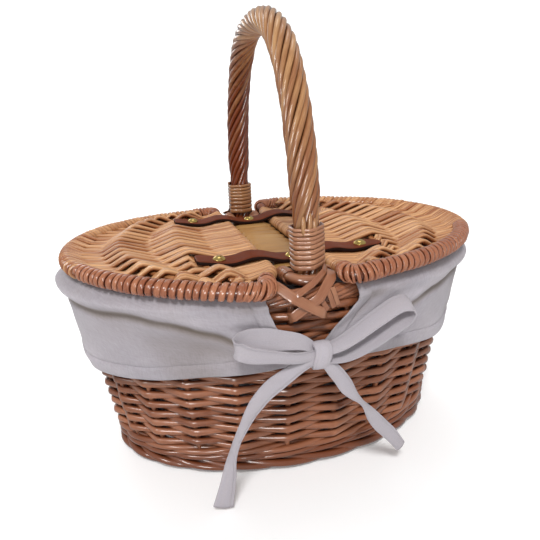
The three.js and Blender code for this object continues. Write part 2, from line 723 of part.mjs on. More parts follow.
// What a slit takes out of the liner at one side: a V from the skirt and a gap for the handle leg over the border
function slitTools(side) {
  const above = RIM_HEIGHT + 20;
  const depth = THROUGH;
  const vee = new THREE.Shape();
  vee.moveTo(0, SLIT_POINT);
  vee.lineTo(SLIT_HALF_WIDTH, RIM_HEIGHT);
  vee.lineTo(SLIT_HALF_WIDTH, above);
  vee.lineTo(-SLIT_HALF_WIDTH, above);
  vee.lineTo(-SLIT_HALF_WIDTH, RIM_HEIGHT);
  const skirt = new THREE.ExtrudeGeometry(vee, { depth, bevelEnabled: false });
  const outer = wallOval(SLIT_POINT).b;
  skirt.rotateX(Math.PI / 2).translate(0, side > 0 ? outer + depth : -outer, 0);
  const gapBottom = BORDER_BOTTOM - 12;
  const gap = new THREE.BoxGeometry(2 * SLIT_HALF_WIDTH - 12, 2 * depth, above - gapBottom);
  gap.translate(0, side * (HANDLE_REACH - POCKET_INSET + depth), (above + gapBottom) / 2);
  return [skirt, gap];
}

// Ties: flat tape along a line, with its width the way acrossAt says, gathered where widthAt is below 1
function tape(line, acrossAt, widthAt) {
  const rings = line.map((point, i) => {
    const ahead = line[Math.min(i + 1, line.length - 1)];
    const behind = line[Math.max(i - 1, 0)];
    const along = ahead.clone().sub(behind).normalize();
    const out = acrossAt(along).cross(along).normalize();
    const across = along.clone().cross(out);
    const corners = [
      [-1, -1],
      [1, -1],
      [1, 1],
      [-1, 1],
    ];
    return corners.map(([w, t]) =>
      point
        .clone()
        .addScaledVector(across, (w * widthAt(i / (line.length - 1)) * TIE_WIDTH) / 2)
        .addScaledVector(out, (t * TIE_THICKNESS) / 2),
    );
  });
  return loft(rings);
}

const knotPlace = () => {
  const skirt = wallOval(KNOT_HEIGHT, SKIRT_STAND_OFF + 0.6);
  return V(0, -skirt.b - CLEARANCE - KNOT_RADIUS * KNOT_SHAPE[1], KNOT_HEIGHT);
};

function knot() {
  const barrel = new THREE.SphereGeometry(KNOT_RADIUS, 10, 6);
  barrel.scale(...KNOT_SHAPE);
  return barrel.translate(...knotPlace());
}

// One loop of the bow, out from the knot to its tip and back
function bowLoop(side, { reach, rise, swell }) {
  const steps = 14;
  const start = KNOT_RADIUS * KNOT_SHAPE[0] + 3 * CLEARANCE;
  const parting = TIE_THICKNESS * 1.2;
  const line = Array.from({ length: steps + 1 }, (_, i) => {
    const turn = Math.PI * (1 - (2 * i) / steps);
    const out = (1 + Math.cos(turn)) / 2;
    const lift = swell * Math.sin(turn) * out + (parting * turn) / Math.PI;
    return knotPlace().add(V(side * (start + (reach - start) * out), -2 - 4 * out, rise * out + lift));
  });
  return tape(line, () => V(...LOOP_LEAN), (share) => 0.4 + 0.6 * Math.sin(Math.PI * share) ** 0.5);
}

// One tail of the bow: a free end that hangs in front of the weave down to the floor
function bowTail(start, shares) {
  const points = [start, ...shares.map((share) => V(...share).multiplyScalar(TAIL_FALL))];
  const curve = new THREE.CatmullRomCurve3(points.map((point) => point.add(knotPlace())));
  const facing = V(0, -1, 0.15);
  return tape(
    curve.getSpacedPoints(10),
    (along) => along.clone().cross(facing),
    (share) => Math.min(1, 0.5 + 2 * share),
  );
}

// Where a tail leaves the knot, and the points that it then passes as shares of its fall
const tailStart = (side) => V(side * KNOT_RADIUS * KNOT_SHAPE[0] * 0.65, -1, -KNOT_RADIUS * 0.95);
const tailLeft = [
  [-0.24, -0.03, -0.27],
  [-0.48, 0, -0.58],
  [-0.62, 0.06, -0.88],
  [-0.67, 0.08, -1],
];
const tailRight = [
  [0.22, -0.02, -0.28],
  [0.44, 0.06, -0.55],
  [0.62, 0.18, -0.8],
  [0.74, 0.28, -0.98],
];

function bow(side) {
  const group = new THREE.Group();
  group.add(
    piece(`${side}_bow_knot`, knot(), cotton),
    piece(`${side}_bow_left_loop`, bowLoop(-1, LOOP_LEFT), cotton),
    piece(`${side}_bow_right_loop`, bowLoop(1, LOOP_RIGHT), cotton),
    piece(`${side}_bow_left_tail`, bowTail(tailStart(-1), tailLeft), cotton),
    piece(`${side}_bow_right_tail`, bowTail(tailStart(1), tailRight), cotton),
  );
  return group;
}

// One lid with its strap ends and rivets, modelled at +X and mirrored for the other side
function lid(name, mirror) {
  const group = new THREE.Group();
  group.add(piece(`${name}_hoop`, lidHoop(), willow), piece(`${name}_weave`, lidPanel(), willow));
  for (const [end, y] of [
    ["front", -STRAP_REACH],
    ["rear", STRAP_REACH],
  ]) {
    const stud = piece(`${name}_${end}_rivet`, rivet(LEAF_TOP, PANEL_BOTTOM), brass);
    stud.position.set(RIVET_FROM_MIDDLE, y, 0);
    group.add(piece(`${name}_${end}_strap`, strapLeaf(y), leather), stud);
  }
  group.scale.x = mirror;
  return group;
}

function bowl() {
  const group = new THREE.Group();
  group.add(
    piece("foot_border", footBorder(), willow),
    piece("base_sticks", baseSticks(), willow),
    piece("base_weave", baseWeave(), willow),
    piece("upset_wale", upsetWale(), willow),
    piece("side_weave", sideWeave(), willow),
    piece("rim_border", rimBorder(), willow),
  );
  return group;
}

function handle() {
  const group = new THREE.Group();
  group.add(
    piece("handle_bow", handleBowLine(6, BOW_RADIUS), willow),
    piece("handle_twist", handleTwist(), willow),
  );
  for (const [end, turn, turns] of [
    ["front", 0, COLLAR_TURNS_FRONT],
    ["rear", Math.PI, COLLAR_TURNS_REAR],
  ]) {
    const { geometry, gap } = collar(turns);
    console.log(`${end}_collar: least gap between turns ${gap.toFixed(2)} mm`);
    const winding = piece(`${end}_collar`, geometry, willow);
    const cross = piece(`${end}_lashing`, lashing(), willow);
    winding.rotation.z = turn;
    cross.rotation.z = turn;
    group.add(winding, cross);
  }
  return group;
}

function centreBar() {
  const group = new THREE.Group();
  const windings = [-STRAP_REACH, STRAP_REACH].map((y) => rivetHole(0, y, BAR_HEIGHT));
  group.add(
    piece("bar_cane_loop", barLoop(), willow),
    piece("bar_wrap", cut(barWrap(), ...windings), paleWillow),
  );
  for (const [end, y] of [
    ["front", -STRAP_REACH],
    ["rear", STRAP_REACH],
  ]) {
    const stud = piece(`bar_${end}_rivet`, rivet(BAR_TOP + CLEARANCE + STRAP_THICKNESS, BAR_BOTTOM), brass);
    stud.position.y = y;
    group.add(piece(`bar_${end}_strap`, strapMiddle(y), leather), stud);
  }
  return group;
}

const rearBow = bow("rear");
rearBow.rotation.z = Math.PI;

const basket = new THREE.Group();
basket.add(
  bowl(),
  handle(),
  centreBar(),
  piece("liner", liner(), cotton),
  bow("front"),
  rearBow,
  lid("left_lid", -1),
  lid("right_lid", 1),
);

export default basket;
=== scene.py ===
import math

import bmesh
import bpy
import numpy as np
from bpy.props import FloatProperty, FloatVectorProperty, IntProperty, PointerProperty
from mathutils import Matrix, Vector


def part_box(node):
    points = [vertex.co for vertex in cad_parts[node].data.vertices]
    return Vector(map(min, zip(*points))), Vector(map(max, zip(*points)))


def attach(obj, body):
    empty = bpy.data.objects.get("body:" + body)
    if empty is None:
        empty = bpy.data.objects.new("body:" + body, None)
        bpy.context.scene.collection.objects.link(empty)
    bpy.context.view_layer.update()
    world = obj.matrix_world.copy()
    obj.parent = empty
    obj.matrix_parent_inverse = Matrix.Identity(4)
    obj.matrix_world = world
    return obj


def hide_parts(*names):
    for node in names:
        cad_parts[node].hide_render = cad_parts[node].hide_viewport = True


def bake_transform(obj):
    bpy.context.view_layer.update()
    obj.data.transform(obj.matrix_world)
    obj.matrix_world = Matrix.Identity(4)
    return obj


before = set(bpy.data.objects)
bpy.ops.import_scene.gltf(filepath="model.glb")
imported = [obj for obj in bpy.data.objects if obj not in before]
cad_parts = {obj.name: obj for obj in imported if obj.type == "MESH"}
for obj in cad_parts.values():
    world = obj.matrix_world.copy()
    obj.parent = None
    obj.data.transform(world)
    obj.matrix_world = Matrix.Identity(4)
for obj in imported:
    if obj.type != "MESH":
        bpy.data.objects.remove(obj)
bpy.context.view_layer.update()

bl_info = {
    "name": "Willow Hamper",
    "version": (1, 0, 0),
    "blender": (4, 5, 0),
    "location": "View3D > Sidebar > Hamper",
    "description": "Models an oval willow hamper with two lids, a twisted handle and a tied cotton liner",
    "category": "Object",
}

# Lengths inside this file are millimetres, and the properties and meshes are metres
MM = 0.001

# Places that the frame gives
RIM_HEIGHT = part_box("rim_border")[1][2] / MM
BORDER_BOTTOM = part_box("rim_border")[0][2] / MM
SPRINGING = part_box("handle_twist")[0][2] / MM
BAR_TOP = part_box("bar_wrap")[1][2] / MM
BAR_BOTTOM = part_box("bar_wrap")[0][2] / MM
BAR_HALF_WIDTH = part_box("bar_wrap")[1][0] / MM
BAR_HALF_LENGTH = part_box("bar_wrap")[1][1] / MM
HOOP_HEIGHT = (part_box("right_lid_hoop")[0][2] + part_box("right_lid_hoop")[1][2]) / 2 / MM

# Sizes that the part's source gives too: the wall's oval at the floor and at the rim, the handle and the lids
BASE_OVAL = (128.0, 78.0)
RIM_OVAL = (155.0, 113.0)
HANDLE_REACH = 98.0
HANDLE_CROWN = 325.0
HANDLE_SQUARENESS = 2.47
HOOP_OVAL = (158.8, 122.8)
HINGE_STICK = 24.1
STRAP_PLACE = 64.0
RIVET_PLACE = 52.6
# The front is modelled, and the rear is the same turned by half a turn
FRONT = np.array([1, 1, 1])
REAR = np.array([-1, -1, 1])


def size(label, note, default):
    """A length that a user may change, with its default in millimetres."""
    return FloatProperty(
        name=label, description=note, default=default * MM, min=0.0, unit="LENGTH", precision=4
    )


def tint(label, note, default):
    """A colour that a user may change."""
    return FloatVectorProperty(
        name=label, description=note, default=default, size=3, min=0.0, max=1.0, subtype="COLOR"
    )


def count(label, note, default):
    """A number of pieces that a user may change."""
    return IntProperty(name=label, description=note, default=default, min=1)


class BowlSizes(bpy.types.PropertyGroup):
    """Sizes of the woven bowl"""

    stakes: count("Stakes", "Upright stakes round the bowl", 24)
    courses: count("Courses", "Rounds of weaving up the wall", 27)
    weaver_height: size("Weaver Height", "Height of a weaver in front of a stake", 5.6)
    weaver_depth: size("Weaver Depth", "Thickness of a weaver through the wall", 4.0)
    weave_swing: size("Weave Swing", "How far a weaver goes out past the middle of the wall", 3.7)
    stake_width: size("Stake Width", "Diameter of a stake", 4.6)
    foot_rod: size("Foot Rod", "Diameter of a rod in the foot", 6.0)
    wale_rod: size("Wale Rod", "Diameter of a rod in the wale", 5.0)
    rim_rod: size("Rim Rod", "Diameter of a rod in the border", 4.3)


class HandleSizes(bpy.types.PropertyGroup):
    """Sizes of the handle, its bindings and the centre bar"""

    rods: count("Rods", "Rods laid round the handle", 11)
    rod_width: size("Rod Width", "Diameter of a rod in the handle", 4.2)
    lay: size("Lay", "Length of one full turn of the twist", 118.0)
    outer_radius: size("Radius", "Radius over the rods", 10.2)
    neck_radius: size("Neck Radius", "Radius over the rods under a collar", 8.9)
    front_turns: count("Front Turns", "Turns of the front collar", 9)
    rear_turns: count("Rear Turns", "Turns of the rear collar", 8)
    bar_turns: count("Bar Turns", "Turns of the skein round the centre bar", 11)


class LidSizes(bpy.types.PropertyGroup):
    """Sizes of the lids, their straps and their rivets"""

    rods: count("Bundles", "Bundles of strands from the front of a lid to its back", 41)
    rod_pitch: size("Bundle Pitch", "Distance between bundles across a lid", 5.4)
    rod_height: size("Strand", "Thickness of a strand", 3.1)
    hump: size("Hump", "Rise of a bundle over a rib", 4.5)
    lap_pitch: size("Lap Pitch", "Distance between turns of the lapping", 5.0)
    strap_width: size("Strap Width", "Width of a leather strap", 20.0)
    strap_thickness: size("Strap Thickness", "Thickness of a leather strap", 2.6)
    strap_reach: size("Strap Reach", "Half the length of a strap", 69.0)
    rivet_radius: size("Rivet Radius", "Radius of a rivet's head", 4.8)


class ClothSizes(bpy.types.PropertyGroup):
    """Sizes of the liner and its ties"""

    thickness: size("Cloth", "Thickness of the cotton", 0.9)
    stand_off: size("Stand-off", "Distance of the skirt from the middle of the wall", 8.8)
    hem_front: size("Front Hem", "Height of the hem beside the ties", 100.0)
    hem_ends: size("End Hem", "Height of the hem at the ends of the oval", 84.0)
    fold: size("Fold", "Depth of the folds of the skirt", 2.6)
    tape: size("Tape", "Width of a tie where it loops", 13.0)
    tail: size("Tail", "Width of a tie where it hangs", 11.0)


class Finishes(bpy.types.PropertyGroup):
    """Colours of the materials"""

    wall_pale: tint("Wall Pale", "Pale willow of the bowl", (0.38, 0.15, 0.075))
    wall_deep: tint("Wall Deep", "Dark willow of the bowl", (0.17, 0.048, 0.017))
    lid_pale: tint("Lid Pale", "Pale willow of the lids", (0.72, 0.405, 0.195))
    lid_deep: tint("Lid Deep", "Dark willow of the lids", (0.34, 0.115, 0.036))
    lap_pale: tint("Lap Pale", "Pale lapping of the hoops", (0.46, 0.185, 0.092))
    lap_deep: tint("Lap Deep", "Dark lapping of the hoops", (0.22, 0.054, 0.019))
    handle_pale: tint("Handle Pale", "Pale willow of the handle", (0.50, 0.27, 0.115))
    handle_deep: tint("Handle Deep", "Dark willow of the handle", (0.185, 0.036, 0.008))
    bind_pale: tint("Binding Pale", "Pale skeins at the handle's feet", (0.45, 0.215, 0.115))
    bind_deep: tint("Binding Deep", "Dark skeins at the handle's feet", (0.19, 0.048, 0.018))
    skein_pale: tint("Skein Pale", "Pale split willow", (0.48, 0.27, 0.10))
    skein_deep: tint("Skein Deep", "Dark split willow", (0.33, 0.155, 0.042))
    leather: tint("Leather", "Face of the straps", (0.125, 0.027, 0.010))
    leather_edge: tint("Leather Edge", "Cut edge of the straps", (0.010, 0.007, 0.006))
    brass: tint("Brass", "Rivets", (0.80, 0.58, 0.19))
    cotton: tint("Cotton", "Liner and ties", (0.355, 0.334, 0.37))
    floor: tint("Floor", "Floor of the stage", (0.94, 0.94, 0.94))


# Lines and sections


def xyz(x, y, z):
    """A table of points from three coordinates; a plain number stands for all of its rows."""
    return np.stack(np.broadcast_arrays(x, y, z), axis=-1)


def unit(vectors):
    """The same directions at length one."""
    return vectors / np.maximum(np.linalg.norm(vectors, axis=-1, keepdims=True), 1e-9)


def smoothstep(low, high, value):
    """A soft step from 0 at low to 1 at high."""
    share = np.clip((np.asarray(value, float) - low) / (high - low), 0, 1)
    return share * share * (3 - 2 * share)


def once_round(steps):
    """Angles of evenly spaced points once round."""
    return np.arange(steps) * 2 * math.pi / steps


def wall_points(theta, height, offset):
    """Points on the wall at those angles and heights, moved out by an offset."""
    theta, height, offset = np.broadcast_arrays(theta, height, offset)
    share = height / RIM_HEIGHT
    a, b = (low + (high - low) * share + offset for low, high in zip(BASE_OVAL, RIM_OVAL))
    return xyz(a * np.cos(theta), b * np.sin(theta), height)


def wall_normals(theta):
    """Level directions out of the wall at those angles."""
    return unit(xyz(np.cos(theta) * RIM_OVAL[1], np.sin(theta) * RIM_OVAL[0], 0.0))


def reach_along(line):
    """Distances along a line from its first point."""
    return np.concatenate([[0], np.cumsum(np.linalg.norm(np.diff(line, axis=0), axis=1))])


def rows_at(places, knots, table):
    """Rows of a table at places between its knots."""
    return np.stack([np.interp(places, knots, column) for column in np.asarray(table, float).T], axis=-1)


def resample(points, steps, closed=False):
    """Evenly spaced points along a broken line."""
    points = np.asarray(points, float)
    if closed:
        points = np.vstack([points, points[:1]])
    reach = reach_along(points)
    places = np.linspace(0, reach[-1], steps + 1)
    if closed:
        places = places[:-1]
    return rows_at(places, reach, points)


def smooth_line(points, steps):
    """A soft curve through points, evenly spaced."""
    points = np.asarray(points, float)
    padded = np.vstack([2 * points[0] - points[1], points, 2 * points[-1] - points[-2]])
    t = np.linspace(0, 1, 12, endpoint=False)[:, None]
    curve = []
    for p0, p1, p2, p3 in zip(padded, padded[1:], padded[2:], padded[3:]):
        bend = 2 * p0 - 5 * p1 + 4 * p2 - p3
        turn = 3 * p1 - p0 - 3 * p2 + p3
        curve.append(0.5 * (2 * p1 + (p2 - p0) * t + bend * t**2 + turn * t**3))
    curve.append(points[-1:])
    return resample(np.vstack(curve), steps)


def rod_frame(line, hint, closed):
    """The directions across a rod and out of it, square to its line."""
    if closed:
        along = np.roll(line, -1, axis=0) - np.roll(line, 1, axis=0)
    else:
        along = np.gradient(line, axis=0)
    along = unit(along)
    out = unit(hint - np.sum(hint * along, axis=1, keepdims=True) * along)
    return np.cross(out, along), out


def round_section(sides, squareness=2.0):
    """Points round a rod: 2 is round, and more is squarer."""
    turn = once_round(sides) + math.pi / sides
    shape = np.stack([np.cos(turn), np.sin(turn)], axis=-1)
    return np.sign(shape) * np.abs(shape) ** (2 / squareness)


ROUND = round_section(8)
SLIM = round_section(6)
STRAND = round_section(8, 2.4)
WEAVER = round_section(10, 2.7)
FLAT = round_section(12, 5.0)
BAND = np.array(
    [
        (1.0, -0.7), (1.0, 0.2), (0.84, 0.74), (0.4, 1.0),
        (-0.4, 1.0), (-0.84, 0.74), (-1.0, 0.2), (-1.0, -0.7),
    ]
)
HALF_STRIP = np.array(
    [
        (1.0, -0.35), (1.0, 0.35), (0.985, 0.8), (0.93, 1.0), (0.5, 1.0),
        (0.0, 1.0), (-0.5, 1.0), (-0.93, 1.0), (-0.985, 0.8),
    ]
)
STRIP = np.vstack([HALF_STRIP, -HALF_STRIP])
# A tie is such a strip with a seam along one edge, arched across
SEAM = np.array([(0.74, 1.0), (0.67, 0.3), (0.6, 1.0)])
RIBBON_RISE = 1.7
RIBBON = np.vstack([STRIP[:4], SEAM, STRIP[4:]])
RIBBON[:, 1] += RIBBON_RISE * (1 - RIBBON[:, 0] ** 2)
# How far the map of a rod moves along with its shade, so that no two rods have the same streaks
MAP_SHIFT = 7.3


def new_piece(name, mesh):
    """An object for a mesh, at the origin and in the scene."""
    piece = bpy.data.objects.new(name, mesh)
    bpy.context.scene.collection.objects.link(piece)
    return piece


def add_map(mesh, corners):
    """Gives a mesh its own map, with a place for each corner of its faces."""
    layer = mesh.uv_layers.new(name="Rod")
    layer.data.foreach_set("uv", corners.ravel())


def add_field(mesh, label, values):
    """Gives a mesh a value at each of its points."""
    field = mesh.attributes.new(label, "FLOAT", "POINT")
    field.data.foreach_set("value", values)


class Rods:
    """Rods and skeins collected into one mesh, each with its own shade and a map along and round it."""

    def __init__(self):
        self.points = []
        self.quads = []
        self.quad_maps = []
        self.ends = []
        self.end_maps = []
        self.tones = []
        self.edges = []
        self.crowns = []
        self.total = 0

    def add(self, line, hint, width, depth, tone, section=ROUND, closed=False):
        """One rod along a line. Width lies across it and depth along the hint; both are full sizes."""
        line = np.asarray(line, float)
        n, k = len(line), len(section)
        across, out = rod_frame(line, np.broadcast_to(np.asarray(hint, float), line.shape), closed)
        half_w = np.broadcast_to(np.asarray(width, float) / 2, n)[:, None, None]
        half_d = np.broadcast_to(np.asarray(depth, float) / 2, n)[:, None, None]
        tone = np.broadcast_to(np.asarray(tone, float), n)
        ring = across[:, None] * section[None, :, :1] * half_w + out[:, None] * section[None, :, 1:] * half_d
        self.points.append((line[:, None] + ring).reshape(-1, 3))
        self.tones.append(np.repeat(tone, k))
        self.edges.append(np.tile(np.abs(section[:, 0]) > 0.98, n).astype(float))
        # How far each point of a section faces out of its rod; the willow's painted shade is taken from it
        self.crowns.append(np.tile(section[:, 1], n))
        rows = n if closed else n - 1
        i = np.arange(rows)[:, None]
        j = np.arange(k)[None, :]
        beside = (j + 1) % k
        ahead = (i + 1) % n
        corners = [i * k + j, i * k + beside, ahead * k + beside, ahead * k + j]
        self.quads.append(np.stack(corners, axis=-1).reshape(-1, 4) + self.total)
        reach = reach_along(np.vstack([line, line[:1]])) * MM + tone[0] * MAP_SHIFT
        u0, u1 = reach[:-1][:rows, None] + 0 * j, reach[1:][:rows, None] + 0 * j
        v0, v1 = j / k + 0 * i, (j + 1) / k + 0 * i
        cells = [np.stack(pair, axis=-1) for pair in ((u0, v0), (u0, v1), (u1, v1), (u1, v0))]
        self.quad_maps.append(np.stack(cells, axis=2).reshape(-1, 2))
        if not closed:
            first = self.total
            last = self.total + (n - 1) * k
            self.ends.append(list(range(first + k - 1, first - 1, -1)))
            self.ends.append(list(range(last, last + k)))
            for spot in (reach[0], reach[n - 1]):
                self.end_maps.append(np.tile([spot, 0.5], (k, 1)))
        self.total += n * k

    def build(self, name, material):
        """The finished object, at the origin with its place in its mesh."""
        mesh = bpy.data.meshes.new(name)
        faces = np.vstack(self.quads).tolist() + self.ends
        mesh.from_pydata((np.vstack(self.points) * MM).tolist(), [], faces)
        add_map(mesh, np.vstack(self.quad_maps + self.end_maps))
        for label, values in (("tone", self.tones), ("edge", self.edges), ("crown", self.crowns)):
            add_field(mesh, label, np.concatenate(values))
        mesh.shade_smooth()
        mesh.materials.append(material)
        return new_piece(name, mesh)


def settle(piece, body, slot, *nodes):
    """Ties a finished piece to its body and hides the solids that it stands for. Its slot is not used."""
    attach(piece, body)
    if nodes:
        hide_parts(*nodes)


def pick(piece):
    """Selects one piece and nothing else."""
    bpy.ops.object.select_all(action="DESELECT")
    piece.select_set(True)
    bpy.context.view_layer.objects.active = piece


def weld(threshold):
    """Joins points that meet and turns the faces outward, on the piece in edit mode."""
    bpy.ops.mesh.select_all(action="SELECT")
    bpy.ops.mesh.remove_doubles(threshold=threshold)
    bpy.ops.mesh.normals_make_consistent(inside=False)


# Materials


def new_group(name, inputs, outputs):
    """An empty shader node group with named sockets."""
    tree = bpy.data.node_groups.new(name, "ShaderNodeTree")
    kinds = {"color": "NodeSocketColor", "value": "NodeSocketFloat"}
    for label, kind, default in inputs:
        socket = tree.interface.new_socket(label, in_out="INPUT", socket_type=kinds[kind])
        socket.default_value = (*default, 1.0) if kind == "color" else default
    for label, kind in outputs:
        tree.interface.new_socket(label, in_out="OUTPUT", socket_type=kinds[kind])
    return tree, tree.nodes.new("NodeGroupInput"), tree.nodes.new("NodeGroupOutput")


def feed(tree, socket, value):
    """Gives a socket a number or a colour, or links it to another socket."""
    if isinstance(value, (int, float)):
        socket.default_value = value
    elif isinstance(value, tuple):
        socket.default_value = (*value, 1.0)
    else:
        tree.links.new(value, socket)


def math_node(tree, operation, first, second=None, third=None, clamp=False):
    """A sum of up to three numbers or sockets."""
    node = tree.nodes.new("ShaderNodeMath")
    node.operation = operation
    node.use_clamp = clamp
    for socket, value in zip(node.inputs, (first, second, third)):
        if value is not None:
            feed(tree, socket, value)
    return node.outputs[0]


def noise_node(tree, vector, scale, detail):
    """Soft noise at a scale."""
    node = tree.nodes.new("ShaderNodeTexNoise")
    node.inputs["Scale"].default_value = scale
    node.inputs["Detail"].default_value = detail
    tree.links.new(vector, node.inputs["Vector"])
    return node.outputs[0]


def scaled_node(tree, parts, scales):
    """A vector of three numbers or sockets, where each socket is taken times its scale."""
    node = tree.nodes.new("ShaderNodeCombineXYZ")
    for socket, part, scale in zip(node.inputs, parts, scales):
        feed(tree, socket, part if scale is None else math_node(tree, "MULTIPLY", part, scale))
    return node.outputs[0]


def blend_node(tree, factor, first, second, mode="MIX"):
    """A colour between two others."""
    node = tree.nodes.new("ShaderNodeMix")
    node.data_type = "RGBA"
    node.blend_type = mode
    for place, value in ((0, factor), (6, first), (7, second)):
        feed(tree, node.inputs[place], value)
    return node.outputs[2]


def attribute_node(tree, label):
    """A value that the mesh carries at its points."""
    node = tree.nodes.new("ShaderNodeAttribute")
    node.attribute_name = label
    return node.outputs["Fac"]


def map_nodes(tree):
    """The piece's own map, and its parts along and across."""
    place = tree.nodes.new("ShaderNodeUVMap")
    place.uv_map = "Rod"
    parts = tree.nodes.new("ShaderNodeSeparateXYZ")
    tree.links.new(place.outputs["UV"], parts.inputs[0])
    return place.outputs["UV"], parts.outputs[0], parts.outputs[1]


def willow_group():
    """Peeled willow: streaks along the rod, blotches, bud scars, a shade of its own for each rod, and painted
    shade on each rod where its section turns away from its outer face.
    """
    if "Willow Skin" in bpy.data.node_groups:
        return bpy.data.node_groups["Willow Skin"]
    inputs = [
        ("Pale", "color", (0.6, 0.35, 0.2)),
        ("Deep", "color", (0.3, 0.12, 0.06)),
        ("Streak", "value", 0.5),
        ("Polish", "value", 0.3),
    ]
    outputs = [("Color", "color"), ("Roughness", "value"), ("Height", "value")]
    tree, given, result = new_group("Willow Skin", inputs, outputs)
    shade = attribute_node(tree, "tone")
    _, along, around = map_nodes(tree)
    turn = math_node(tree, "MULTIPLY", around, 2 * math.pi)
    side = math_node(tree, "COSINE", turn)
    up = math_node(tree, "SINE", turn)
    apart = math_node(tree, "MULTIPLY_ADD", shade, 80.0, up)
    streak = noise_node(tree, scaled_node(tree, (along, side, up), (70.0, 3.2, 3.2)), 1.0, 3.0)
    blotch = noise_node(tree, scaled_node(tree, (along, side, apart), (22.0, 0.5, 0.5)), 1.0, 2.0)
    mixed = math_node(tree, "MULTIPLY", math_node(tree, "SUBTRACT", streak, 0.5), given.outputs["Streak"])
    mixed = math_node(tree, "MULTIPLY_ADD", math_node(tree, "SUBTRACT", blotch, 0.5), 0.7, mixed)
    mixed = math_node(tree, "ADD", mixed, shade, clamp=True)
    color = blend_node(tree, mixed, given.outputs["Deep"], given.outputs["Pale"])
    buds = tree.nodes.new("ShaderNodeTexVoronoi")
    buds.inputs["Scale"].default_value = 1.0
    tree.links.new(scaled_node(tree, (along, side, up), (38.0, 1.1, 1.1)), buds.inputs["Vector"])
    scar = math_node(tree, "LESS_THAN", buds.outputs["Distance"], 0.085)
    color = blend_node(tree, math_node(tree, "MULTIPLY", scar, 0.55), color, (0.10, 0.035, 0.018))
    # Painted shade: the colour darkens towards a brown shadow colour where the rod's section faces away from
    # its outer side
    lit = math_node(tree, "MULTIPLY_ADD", attribute_node(tree, "crown"), 0.85, 0.35, clamp=True)
    shadow = blend_node(tree, 1.0, color, (0.42, 0.27, 0.2), "MULTIPLY")
    tree.links.new(blend_node(tree, lit, shadow, color), result.inputs["Color"])
    rough = math_node(tree, "MULTIPLY_ADD", streak, 0.24, given.outputs["Polish"])
    tree.links.new(rough, result.inputs["Roughness"])
    height = math_node(tree, "MULTIPLY_ADD", scar, 0.5, streak)
    tree.links.new(height, result.inputs["Height"])
    return tree


def cotton_group():
    """Plain woven cotton: crossed threads, slubs, a soft mottle, and painted light and shade from the tone of
    its points, with warm painted shade in its folds.
    """
    if "Plain Weave" in bpy.data.node_groups:
        return bpy.data.node_groups["Plain Weave"]
    inputs = [("Cloth", "color", (0.55, 0.5, 0.5)), ("Thread", "value", 0.0009)]
    tree, given, result = new_group("Plain Weave", inputs, [("Color", "color"), ("Height", "value")])
    place, along, across = map_nodes(tree)
    turns = math_node(tree, "DIVIDE", 2 * math.pi, given.outputs["Thread"])
    warp = math_node(tree, "SINE", math_node(tree, "MULTIPLY", along, turns))
    weft = math_node(tree, "SINE", math_node(tree, "MULTIPLY", across, turns))
    cross = math_node(tree, "MULTIPLY", warp, weft)
    lengthwise = noise_node(tree, scaled_node(tree, (along, across, 0.0), (900.0, 160.0, None)), 1.0, 2.0)
    crosswise = noise_node(tree, scaled_node(tree, (along, across, 3.0), (160.0, 900.0, None)), 1.0, 2.0)
    slub = math_node(tree, "ADD", lengthwise, crosswise)
    mottle = noise_node(tree, place, 26.0, 3.0)
    depth = math_node(tree, "MULTIPLY_ADD", cross, 0.12, slub)
    shade = math_node(tree, "MULTIPLY_ADD", math_node(tree, "SUBTRACT", depth, 1.0), 0.9, 0.5, clamp=True)
    color = blend_node(tree, shade, (0.80, 0.79, 0.78), (1.12, 1.12, 1.13))
    color = blend_node(tree, 1.0, given.outputs["Cloth"], color, "MULTIPLY")
    color = blend_node(tree, math_node(tree, "MULTIPLY", mottle, 0.3), color, (0.42, 0.36, 0.33))
    # The tone field is painted light and shade: above zero it lightens the cloth, below zero it darkens it
    # and tints it towards a warm painted shade
    tone = attribute_node(tree, "tone")
    painted_light = math_node(tree, "MULTIPLY_ADD", tone, 0.4, 1.0)
    color = blend_node(tree, 1.0, color, painted_light, "MULTIPLY")
    tuck = math_node(tree, "MULTIPLY", tone, -0.8, clamp=True)
    painted_warm_shade = blend_node(tree, 1.0, color, (0.86, 0.76, 0.6), "MULTIPLY")
    tree.links.new(blend_node(tree, tuck, color, painted_warm_shade), result.inputs["Color"])
    tree.links.new(depth, result.inputs["Height"])
    return tree


def shader(name):
    """A new material with its shader, and the node tree to wire it in."""
    material = bpy.data.materials.new(name)
    material.use_nodes = True
    tree = material.node_tree
    return material, tree, tree.nodes["Principled BSDF"]


def bump(tree, surface, height, strength, distance):
    """Relief too fine for the mesh."""
    node = tree.nodes.new("ShaderNodeBump")
    node.inputs["Strength"].default_value = strength
    node.inputs["Distance"].default_value = distance
    tree.links.new(height, node.inputs["Height"])
    tree.links.new(node.outputs["Normal"], surface.inputs["Normal"])


def colours():
    """The colours that a user may change."""
    return bpy.context.scene.hamper_finishes


# Kinds of willow: name of the finish, strength of its streaks, roughness, and weight of its varnish
WILLOWS = {
    "wall": ("Wall Willow", 0.6, 0.22, 0.9),
    "lid": ("Lid Willow", 1.3, 0.24, 0.8),
    "lap": ("Lapping Willow", 0.8, 0.22, 0.8),
    "handle": ("Handle Willow", 0.7, 0.22, 0.9),
    "bind": ("Binding Willow", 0.7, 0.2, 1.0),
    "skein": ("Split Willow", 0.9, 0.38, 0.15),
}


